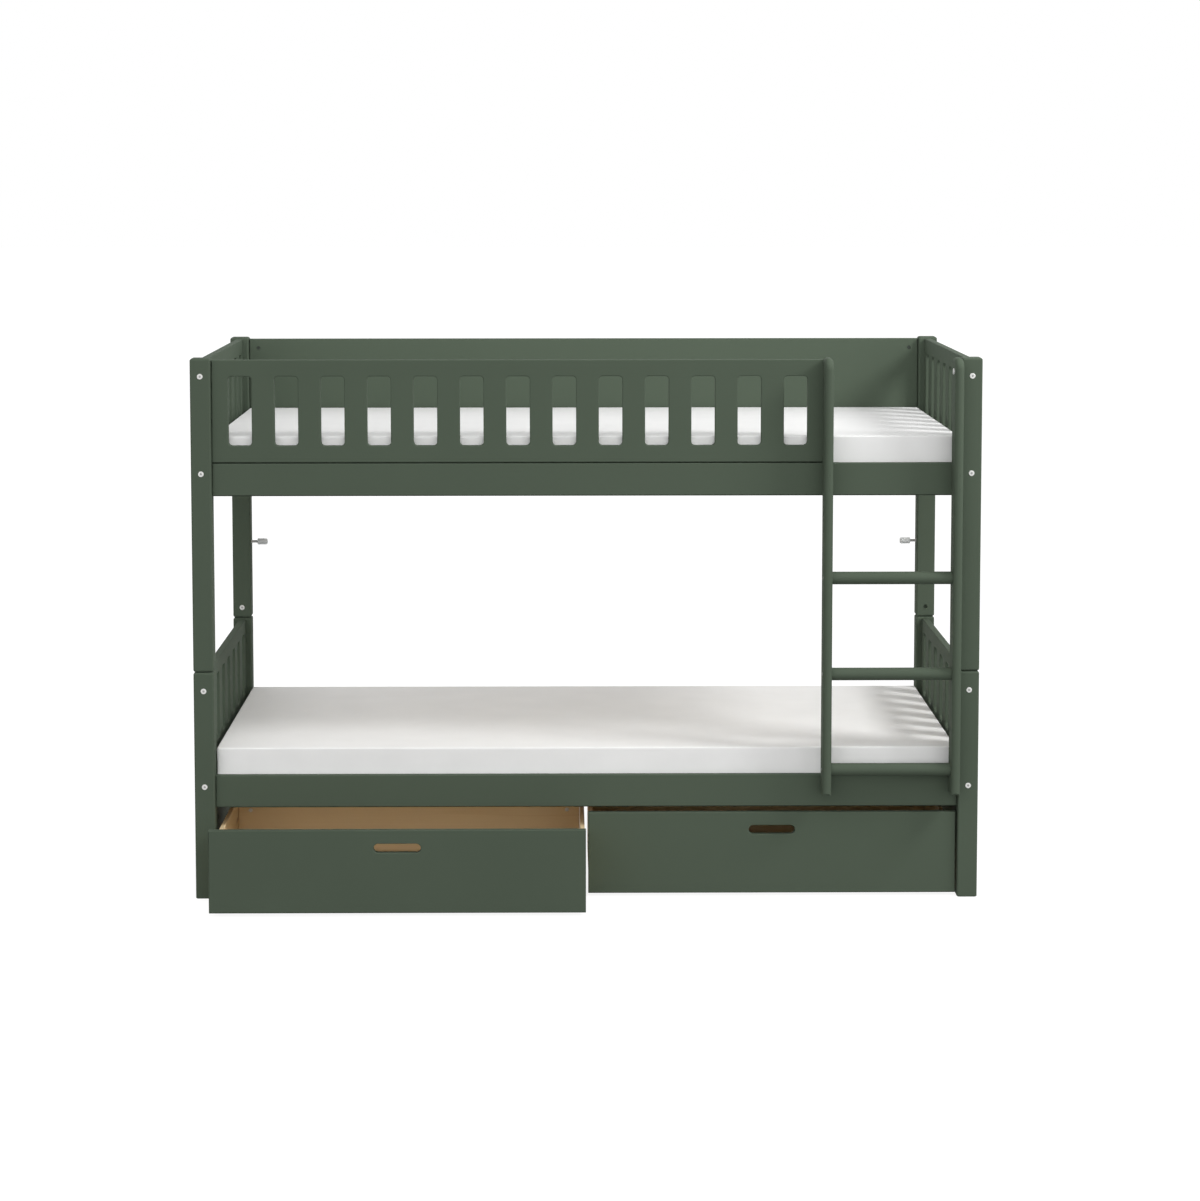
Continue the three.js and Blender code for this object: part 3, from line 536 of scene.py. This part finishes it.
for row, middle_y, inner in (("front", FRONT_MIDDLE, 1), ("back", BACK_MIDDLE, -1)):
    for level in ("lower", "upper"):
        name = f"rail_{level}_{row}"
        low_z = span(name)[0][2]
        pockets = [nut_pocket(sx * reach, RAIL_BOLTS[level], inner) for sx in (-1, 1)]
        build = Build()
        outline = rectangle(-BOARD_END, BOARD_END, low_z, low_z + RAIL_HEIGHT, BOARD_CORNER, 2)
        add_board(build, outline, [], BOARD, EDGE, PLANES["xz"](middle_y), 3, pockets)
        build.piece(name + "_board", PAINT, "bed_frame", [name], "x")
        for sx in (-1, 1):
            add_nut((sx * reach, middle_y + inner * NUT_REACH, RAIL_BOLTS[level]), (0, -inner, 0))

lo, hi = span("guard_front")
slot_low = GUARD_TOP - SLOT_DROP["upper"] - SLOT_SIZE[1]
first_slot = lo[0] + GUARD_SLOT_MARGIN + SLOT_SIZE[0] / 2
middles = [first_slot + SLOT_PITCH * index for index in range(GUARD_SLOTS)]
build = Build()
outline = rectangle(lo[0], hi[0], GUARD_LOW, GUARD_TOP, BOARD_CORNER, 2)
add_board(build, outline, slot_holes(middles, slot_low), BOARD, EDGE, PLANES["xz"](FRONT_MIDDLE), 3,
          [nut_pocket(-reach, GUARD_BOLT, 1)])
build.piece("guard_front_board", PAINT, "bed_frame", ["guard_front"], "x")
add_nut((-reach, FRONT_MIDDLE + NUT_REACH, GUARD_BOLT), (0, -1, 0))
build = Build()
add_board(build, rectangle(-BOARD_END, BOARD_END, GUARD_LOW, GUARD_TOP, BOARD_CORNER, 2), [], BOARD, EDGE,
          PLANES["xz"](BACK_MIDDLE), 3, [nut_pocket(sx * reach, GUARD_BOLT, -1) for sx in (-1, 1)])
build.piece("guard_back_board", PAINT, "bed_frame", ["guard_back"], "x")
for sx in (-1, 1):
    add_nut((sx * reach, BACK_MIDDLE - NUT_REACH, GUARD_BOLT), (0, 1, 0))

for side, sx in (("left", -1), ("right", 1)):
    for level in ("lower", "upper"):
        name = f"end_panel_{level}_{side}"
        lo, hi = span(name)
        slot_low = hi[2] - SLOT_DROP[level] - SLOT_SIZE[1]
        middles = [DEPTH / 2 + (index - PANEL_SLOTS // 2) * SLOT_PITCH for index in range(PANEL_SLOTS)]
        inner = -sx
        ends = (POST + PANEL_NUT, DEPTH - POST - PANEL_NUT)
        pockets = [nut_pocket(y, z, inner) for y in ends for z in PANEL_BOLTS[level]]
        build = Build()
        outline = rectangle(lo[1], hi[1], lo[2], hi[2], BOARD_CORNER, 2)
        add_board(build, outline, slot_holes(middles, slot_low), BOARD, EDGE,
                  PLANES["yz"](sx * POST_MIDDLE), 3, pockets)
        build.piece(name + "_board", PAINT, "bed_frame", [name], "y")
        for y in ends:
            for z in PANEL_BOLTS[level]:
                add_nut((sx * POST_MIDDLE + inner * NUT_REACH, y, z), (-inner, 0, 0))
# The nuts' dark colour is partly painted shade of their pockets
nuts.piece("barrel_nuts", DARK_STEEL_AND_SHADE, "bed_frame", smooth=40)


# Ladder
def add_pole(side, x):
    """Fully rounded along its front and over its top, flat at the back and sawn off square below."""
    name = f"ladder_pole_{side}"
    lo, hi = span(name)
    top_round, nose, spare, heel = 30.0, 11.0, 6.0, 5.0
    front, back, low, top = lo[1], lo[1] + POLE_DEPTH + spare, lo[2] - 2 * nose, hi[2]
    arc = [Vector((front + top_round * (1 - math.sin(a)), top - top_round * (1 - math.cos(a))))
           for a in (math.pi / 2 * k / 10 for k in range(11))]
    outline = [Vector((front, low)), Vector((back, low)), Vector((back, top))] + arc
    build = Build()
    add_board(build, outline, [], POLE, nose, PLANES["yz"](x), 8)
    saws = [((x, lo[1] + POLE_DEPTH, 0), (0, 1, 0)), ((x, 0, lo[2]), (0, 0, -1)),
            ((x, front + heel, lo[2]), (0, -1, -1))]
    build.piece(name + "_wood", PAINT, "bed_frame", [name], "z", saws=saws)


POLE_SCREW_RISES = (-8, 29)
POLE_CAP_DROP = 3
screw_heads, dots = Build(), Build()
for side, x in LADDER.items():
    add_pole(side, x)
    for rise in POLE_SCREW_RISES:
        lathe(screw_heads, POLE_SCREW, (x, POLE_FRONT, RAIL_BOLTS["upper"] + rise), (0, -1, 0), 20)
RUNG_ROUND = 1.5
RUNG_Z = []
for index in (1, 2, 3):
    name = f"ladder_rung_{index}"
    lo, hi = span(name)
    z = (lo[2] + hi[2]) / 2
    RUNG_Z.append(z)
    build = Build()
    profile = rounded_rod((hi[2] - lo[2]) / 2, hi[0] - lo[0], RUNG_ROUND)
    lathe(build, profile, (lo[0], RUNG_Y, z), (1, 0, 0), 48)
    build.piece(name + "_wood", PAINT, "bed_frame", [name], "x")
for z in RUNG_Z:
    for x, direction in ((LADDER["left"] - POLE / 2, -1), (LADDER["right"] + POLE / 2, 1)):
        lathe(dots, RUNG_SCREW, (x, RUNG_Y, z), (direction, 0, 0), 18)
screw_heads.piece("ladder_front_screws", PAINT, "bed_frame", smooth=40)
pole_cap = Build()
cap_place = (LADDER["right"] - POLE / 2, POLE_FRONT + POLE_DEPTH / 2, GUARD_BOLT - POLE_CAP_DROP)
lathe(pole_cap, POLE_CAP, cap_place, (-1, 0, 0), 28)
pole_cap.piece("ladder_bolt_cap", WHITE, "bed_frame", smooth=40)
dots.piece("rung_screws", STEEL, "bed_frame", smooth=40)

# Slatted bases
SLATS = 15
SLAT_PITCH = 136.5
SLAT_WIDTH = 70.0
SLAT_THICKNESS = 16.0
TAPE_WIDTH = 16.0
TAPE_THICKNESS = 0.9
TAPE_DROP = 16.5
TAPE_INSET = 108.5
TAPE_REACH = SLATS // 2 * SLAT_PITCH + 34
for level in ("lower", "upper"):
    name = f"slats_{level}"
    lo, hi = span(name)
    top = hi[2]
    build = Build()
    for index in range(SLATS):
        x = (index - SLATS // 2) * SLAT_PITCH
        outline = rectangle(x - SLAT_WIDTH / 2, x + SLAT_WIDTH / 2, lo[1], hi[1], 2.0, 2)
        add_board(build, outline, [], SLAT_THICKNESS, 2.2, PLANES["xy"](top - SLAT_THICKNESS / 2), 3)
    build.piece(name + "_boards", PINE, "bed_frame", [name], "y")
    tapes = Build()
    for y in (lo[1] + TAPE_INSET, hi[1] - TAPE_INSET):
        outline = rectangle(-TAPE_REACH, TAPE_REACH, y - TAPE_WIDTH / 2, y + TAPE_WIDTH / 2)
        add_board(tapes, outline, [], TAPE_THICKNESS, 0.2, PLANES["xy"](top - TAPE_DROP), 1)
    tapes.piece(name + "_tapes", TAPE, "bed_frame")
    for row in ("front", "back"):
        ledge = f"ledge_{level}_{row}"
        lo, hi = span(ledge)
        build = Build()
        add_board(build, rectangle(lo[1], hi[1], lo[2], hi[2]), [], hi[0] - lo[0], 1.5, PLANES["yz"](0), 2)
        build.piece(ledge + "_strip", PINE, "bed_frame", [ledge], "x")


# Drawers
DRAWER_BOARD = 12.0
DRAWER_BOTTOM = 6.0
DRAWER_EDGE = 1.8
FRONT_EDGE = 2.2
HAND_SLOT_HALVES = (62, 12)
HAND_SLOT_CORNER = 11.9
HAND_SLOT_DROP = 48.0
CAP_INSET = 35
CAP_DROP = 27
WHEEL_RADIUS = 15.0
FORK_PLATE = 2.5
FORK_CHEEK = 1.9
FORK_HALF = 9
FORK_FOOT = 6.5


def add_drawer(side):
    body = f"drawer_{side}"

    def part(name, finish, plane, thickness, edge, grain, holes=()):
        key = f"{body}_{name}"
        lo, hi = span(key)
        flat = {"xz": (0, 2, 1), "yz": (1, 2, 0), "xy": (0, 1, 2)}[plane]
        outline = rectangle(lo[flat[0]], hi[flat[0]], lo[flat[1]], hi[flat[1]], BOARD_CORNER, 2)
        middle = (lo[flat[2]] + hi[flat[2]]) / 2
        build = Build()
        add_board(build, outline, list(holes), thickness, edge, PLANES[plane](middle), 3)
        build.piece(key + "_board", finish, body, [key], grain)

    lo, hi = span(body + "_front")
    middle = (lo[0] + hi[0]) / 2
    slot_z = hi[2] - HAND_SLOT_DROP
    wide, high = HAND_SLOT_HALVES
    hole = rectangle(middle - wide, middle + wide, slot_z - high, slot_z + high, HAND_SLOT_CORNER, 8)
    part("front", PAINT, "xz", BOARD, FRONT_EDGE, "x", [hole])
    part("side_inner", PINE, "yz", DRAWER_BOARD, DRAWER_EDGE, "y")
    part("side_outer", PINE, "yz", DRAWER_BOARD, DRAWER_EDGE, "y")
    part("bottom", PLY, "xy", DRAWER_BOTTOM, 0.5, "x")
    lo, hi = span(body + "_back")
    back_y = hi[1]
    build = Build()
    add_board(build, rectangle(lo[0], hi[0], lo[2], hi[2], BOARD_CORNER, 2), [], DRAWER_BOARD, DRAWER_EDGE,
              PLANES["xz"](back_y - DRAWER_BOARD / 2), 3)
    build.piece(body + "_back_board", PINE, body, [body + "_back"], "x")
    screws = Build()
    for x in (lo[0] + CAP_INSET, hi[0] - CAP_INSET):
        lathe(screws, DRAWER_CAP, (x, back_y - DRAWER_BOARD, hi[2] - CAP_DROP), (0, -1, 0), 20)
    screws.piece(body + "_back_caps", WHITE, body, smooth=40)
    for row in ("front", "back"):
        for column in ("inner", "outer"):
            add_castor(body, row, column)


def add_castor(body, row, column):
    key = f"{body}_castor_{row}_{column}"
    lo, hi = span(key)
    x, y = (lo[0] + hi[0]) / 2, (lo[1] + hi[1]) / 2
    width, top = hi[0] - lo[0], hi[2]
    build = Build()
    add_board(build, rectangle(lo[0], hi[0], lo[1], hi[1], 4.0, 4), [], FORK_PLATE, 0.5,
              PLANES["xy"](top - FORK_PLATE / 2), 2)
    for sx in (-1, 1):
        low = Vector((y, WHEEL_RADIUS))
        round_foot = [low + Vector((FORK_HALF * math.cos(a), FORK_FOOT * math.sin(a)))
                      for a in (math.pi + math.pi * k / 12 for k in range(13))]
        outline = round_foot + [Vector((y + FORK_HALF, top - 1)), Vector((y - FORK_HALF, top - 1))]
        add_board(build, outline, [], FORK_CHEEK, 0.3, PLANES["yz"](x + sx * (width / 2 - 1.0)), 1)
        lathe(build, AXLE_HEAD, (x + sx * width / 2, y, WHEEL_RADIUS), (sx, 0, 0), 16)
    build.piece(key + "_fork", STEEL, body, [key], smooth=35)
    wheel = f"{body}_wheel_{row}_{column}"
    build = Build()
    profile = [(radius, -along) for radius, along in reversed(WHEEL_SIDE)] + WHEEL_SIDE
    lathe(build, profile, (x, y, WHEEL_RADIUS), (1, 0, 0), 40)
    build.piece(wheel + "_tread", RUBBER, f"{body}_wheels_{row}", [wheel], smooth=35)


add_drawer("left")
add_drawer("right")


# Spare bolts
THREAD_RADIUS = 4.4
THREAD_PITCH = 1.5
THREAD_DEPTH = 0.8
THREAD_START = 3
THREAD_LENGTH = 41.5
SLEEVE_START = 19.0
SLEEVE_RADIUS = 9.5
SLEEVE_BORE = 5.2
SLEEVE_ROUND = 5.0


def threaded(build, base, direction, length, radius, pitch, depth, sides=20):
    axis = Vector(direction).normalized()
    first = axis.orthogonal().normalized()
    second = axis.cross(first)
    rows = int(length / pitch * 6)
    points, faces = [], []
    for row in range(rows + 1):
        along = length * row / rows
        for k in range(sides):
            turn = (along / pitch + k / sides) % 1
            reach = radius - depth * abs(2 * turn - 1)
            angle = 2 * math.pi * k / sides
            spot = Vector(base) + axis * along + (first * math.cos(angle) + second * math.sin(angle)) * reach
            points.append(tuple(spot))
    for row in range(rows):
        for k in range(sides):
            a, b = row * sides + k, row * sides + (k + 1) % sides
            faces.append([a, b, b + sides, a + sides])
    faces.append(list(range(sides)))
    faces.append([rows * sides + k for k in range(sides)])
    build.add(points, faces)


threads = Build()
for side, sx in (("left", -1), ("right", 1)):
    key = f"spare_bolt_sleeve_{side}"
    lo, hi = span(key)
    y, z = (lo[1] + hi[1]) / 2, (lo[2] + hi[2]) / 2
    inner = sx * POST_INNER
    threaded(threads, (inner + sx * THREAD_START, y, z), (-sx, 0, 0), THREAD_LENGTH,
             THREAD_RADIUS, THREAD_PITCH, THREAD_DEPTH)
    build = Build()
    length = hi[0] - lo[0]
    bend = length - SLEEVE_ROUND
    arc = [(SLEEVE_RADIUS - SLEEVE_ROUND * (1 - math.cos(a)), bend + SLEEVE_ROUND * math.sin(a))
           for a in (math.pi / 2 * k / 6 for k in range(7))]
    profile = [(SLEEVE_BORE, 0.0), (8.9, 0.0), (SLEEVE_RADIUS, 0.8)] + arc
    profile += [(0, length), (0, length - 3), (SLEEVE_BORE, length - 6), (SLEEVE_BORE, 0.0)]
    lathe(build, profile, (inner - sx * SLEEVE_START, y, z), (-sx, 0, 0), 32)
    build.piece(key + "_tube", CLEAR, "bed_frame", [key], smooth=50)
threads.piece("spare_bolts", STEEL, "bed_frame", smooth=60, weighted=False)


# Mattresses
def mattress_mesh(lo, hi):
    """A slab with rounded edges and an even grid, whose top a cloth simulation then swells."""
    corner, edge, crown = 0.006, 0.005, 0.002
    cell = 0.02
    side_cell, margin, padding = 0.02, 0.0005, 0.001
    low, high = at(*lo), at(*hi) + Vector((0, 0, padding))
    size, middle = high - low, (high + low) / 2
    bm = bmesh.new()
    bmesh.ops.create_cube(bm, size=1.0, matrix=Matrix.Translation(middle) @ Matrix.Diagonal((*size, 1.0)))
    upright = [line for line in bm.edges if abs(line.verts[0].co.z - line.verts[1].co.z) > edge]
    bmesh.ops.bevel(bm, geom=upright, offset=corner, segments=4, profile=0.5, affect="EDGES")
    rims = [line for line in bm.edges if abs(line.verts[0].co.z - line.verts[1].co.z) < margin]
    bmesh.ops.bevel(bm, geom=rims, offset=edge, segments=4, profile=0.5, affect="EDGES")
    for axis, step in ((0, cell), (1, cell), (2, side_cell)):
        normal = Vector([float(axis == other) for other in range(3)])
        start, room = low[axis] + 2 * corner, size[axis] - 4 * corner
        cuts = max(int(room / step), 1)
        for index in range(cuts + 1):
            place = Vector(middle)
            place[axis] = start + room * index / cuts
            bmesh.ops.bisect_plane(bm, geom=bm.verts[:] + bm.edges[:] + bm.faces[:], plane_co=place,
                                   plane_no=normal)
    bmesh.ops.recalc_face_normals(bm, faces=bm.faces)
    mesh = bpy.data.meshes.new("mattress_form")
    bm.to_mesh(mesh)
    bm.free()
    form = bpy.data.objects.new("mattress_form", mesh)
    scene.collection.objects.link(form)
    start = read_points(mesh)
    after = swelled(form, start, high.z, low, high)
    mesh.vertices.foreach_set("co", shaped(start, after, low, high, crown).astype(np.float32).ravel())
    mesh.update()
    bpy.data.objects.remove(form)
    return mesh


def swelled(form, start, top, low, high):
    """The panel on top is cloth under pressure, held along the mattress's edges."""
    border, near, frames = 0.02, 0.001, 20
    inside = np.ones(len(start), bool)
    for axis in (0, 1):
        inside &= (start[:, axis] > low[axis] + border) & (start[:, axis] < high[axis] - border)
    free = inside & (start[:, 2] > top - near)
    held = form.vertex_groups.new(name="held")
    held.add([int(index) for index in np.flatnonzero(~free)], 1.0, "REPLACE")
    puff = form.modifiers.new("Puff", "CLOTH")
    puff.settings.quality = 4
    puff.settings.mass = 0.3
    puff.settings.tension_stiffness = 25
    puff.settings.compression_stiffness = 25
    puff.settings.bending_stiffness = 6
    puff.settings.use_pressure = True
    puff.settings.uniform_pressure_force = 4
    puff.settings.effector_weights.gravity = 0
    puff.settings.vertex_group_mass = held.name
    puff.collision_settings.use_collision = False
    for step in range(1, frames + 1):
        scene.frame_set(step)
    after = read_points(form.evaluated_get(bpy.context.evaluated_depsgraph_get()).data)
    form.modifiers.remove(puff)
    scene.frame_set(1)
    return after


def read_points(mesh):
    places = np.zeros(len(mesh.vertices) * 3, np.float32)
    mesh.vertices.foreach_get("co", places)
    return places.reshape(-1, 3).astype(float)


def shaped(start, after, low, high, crown):
    """Scales the swelling to the crown, adds slow unevenness and draws the sides in a little."""
    result = start.copy()
    rise = after[:, 2] - start[:, 2]
    result[:, 2] += crown * rise / max(rise.max(), 1e-6)
    drawn, unevenness, flat_border, side_band = 0.0008, 0.001, 0.06, 0.013
    height = high.z - low.z
    for index, (x, y, z) in enumerate(start):
        share = min(max((z - low.z) / height, 0.0), 1.0)
        edge_room = min(x - low.x, high.x - x, y - low.y, high.y - y)
        flat = min(max(edge_room / flat_border, 0.0), 1.0)
        wave = noise.noise(Vector((x * 2.3, y * 2.9, 4.0))) * unevenness
        result[index, 2] += wave * flat * share
        pull = drawn * math.sin(math.pi * share)
        for axis in (0, 1):
            if start[index, axis] - low[axis] < side_band:
                result[index, axis] += pull
            elif high[axis] - start[index, axis] < side_band:
                result[index, axis] -= pull
    return result


lo, hi = span("mattress_lower")
form = mattress_mesh(lo, hi)
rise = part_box("mattress_upper")[0].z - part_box("mattress_lower")[0].z
for level, lift in (("lower", 0.0), ("upper", rise)):
    mesh = form.copy()
    mesh.transform(Matrix.Translation((0, 0, lift)))
    mesh.polygons.foreach_set("use_smooth", [True] * len(mesh.polygons))
    mesh.materials.clear()
    mesh.materials.append(COVER)
    name = f"mattress_{level}"
    made = bpy.data.objects.new(name + "_cover", mesh)
    scene.collection.objects.link(made)
    made.modifiers.new("Weighted", "WEIGHTED_NORMAL")
    finished(made, "bed_frame", [name])


# Floor, light and camera
def seen_directly(tree):
    """1 for the rays that show the background: those of the camera, of gloss and through glass."""
    path = node(tree, "ShaderNodeLightPath").outputs
    clear = maths(tree, "MAXIMUM", path["Is Camera Ray"], path["Is Transmission Ray"])
    return maths(tree, "MAXIMUM", clear, path["Is Glossy Ray"])


def make_floor():
    """White where it is seen, with the object's shadow, and grey for the light that it throws back."""
    made = bpy.data.materials.new("floor")
    made.use_nodes = True
    tree = made.node_tree
    tree.nodes.clear()
    seen = seen_directly(tree)
    place = node(tree, "ShaderNodeTexCoord").outputs["Object"]
    tone = ramp(tree, noise_at(tree, place, 2.0), [(0.3, (0.24, 0.24, 0.24)), (0.7, (0.26, 0.26, 0.26))])
    matt = node(tree, "ShaderNodeBsdfDiffuse", {"Color": tone}).outputs[0]
    shadow = node(tree, "ShaderNodeBsdfDiffuse", {"Color": (0.22, 0.22, 0.22, 1)}).outputs[0]
    glow = node(tree, "ShaderNodeEmission", {"Color": (1, 1, 1, 1), "Strength": 0.90}).outputs[0]
    shown = node(tree, "ShaderNodeAddShader", {0: shadow, 1: glow}).outputs[0]
    mixed = node(tree, "ShaderNodeMixShader", {0: seen, 1: matt, 2: shown}).outputs[0]
    node(tree, "ShaderNodeOutputMaterial", {0: mixed})
    return made


def add_stage():
    size = 60.0
    corners = [(-size, -size, 0), (size, -size, 0), (size, size, 0), (-size, size, 0)]
    mesh = bpy.data.meshes.new("floor")
    mesh.from_pydata(corners, [], [(0, 1, 2, 3)])
    mesh.materials.append(make_floor())
    floor = bpy.data.objects.new("floor", mesh)
    scene.collection.objects.link(floor)


def nearing(tree, value, start, end):
    """Rises from 0 to 1 while the value goes from start to end."""
    limits = {"Value": value, "From Min": start, "From Max": end}
    return node(tree, "ShaderNodeMapRange", limits).outputs[0]


def add_world():
    """A white background, and soft light of another level from each side of the studio."""
    world = bpy.data.worlds.new("studio")
    world.use_nodes = True
    tree = world.node_tree
    tree.nodes.clear()
    seen = seen_directly(tree)
    direction = node(tree, "ShaderNodeTexCoord").outputs["Generated"]
    way = node(tree, "ShaderNodeSeparateXYZ", {0: direction}).outputs
    level = spread(tree, nearing(tree, way[1], 0.5, -0.5), DOME["back"], DOME["front"])
    level = spread(tree, nearing(tree, way[0], -0.4, -0.9), level, DOME["left"])
    level = spread(tree, nearing(tree, way[0], 0.4, 0.9), level, DOME["right"])
    level = spread(tree, nearing(tree, way[2], 0.35, 0.85), level, DOME["zenith"])
    strength = spread(tree, seen, level, 1.0)
    back = node(tree, "ShaderNodeBackground", {"Color": (1, 1, 1, 1), "Strength": strength}).outputs[0]
    node(tree, "ShaderNodeOutputWorld", {0: back})
    scene.world = world


def add_lamp(name, place, target, size, power):
    data = bpy.data.lights.new(name, "AREA")
    data.shape = "RECTANGLE"
    data.size, data.size_y = size
    data.energy = power
    lamp = bpy.data.objects.new(name, data)
    lamp.location = place
    lamp.rotation_mode = "QUATERNION"
    lamp.rotation_quaternion = (Vector(target) - Vector(place)).to_track_quat("-Z", "Y")
    scene.collection.objects.link(lamp)


# Levels of the soft light from each side, and the two lamps in metres and watts
DOME = {"front": 2.04, "back": 1.74, "left": 0.35, "right": 0.50, "zenith": 0.48}
LAMPS = {
    "overhead": {"place": (0.0, -2.5, 5.4), "target": (0.0, 0.1, 0.9), "size": (3.0, 1.5), "power": 29},
    "right": {"place": (3.47, -1.44, 3.49), "target": (0.3, 0.1, 0.9), "size": (1.0, 1.0), "power": 100},
}
add_stage()
add_world()
for name, lamp in LAMPS.items():
    add_lamp(name, **lamp)

# The camera, solved from the bed's straight edges: angles in radians, lens and sensor in millimetres
YAW, PITCH, ROLL = 0.0082, 0.0855, -0.0005
LENS = 84.76
SENSOR = 36.0
SHIFT = (0.01167, -0.1600)
EYE = (-63.0, -7478.1, 1964.7)
camera = bpy.data.cameras.new("camera")
camera.sensor_width = SENSOR
camera.lens = LENS
camera.shift_x, camera.shift_y = SHIFT
camera.clip_end = 200
eye = bpy.data.objects.new("camera", camera)
forward = Vector((math.sin(YAW) * math.cos(PITCH), math.cos(YAW) * math.cos(PITCH), -math.sin(PITCH)))
eye.rotation_mode = "QUATERNION"
eye.rotation_quaternion = forward.to_track_quat("-Z", "Y") @ Quaternion((0, 0, 1), ROLL)
eye.location = at(*EYE)
scene.collection.objects.link(eye)
scene.camera = eye
scene.view_settings.view_transform = "Standard"
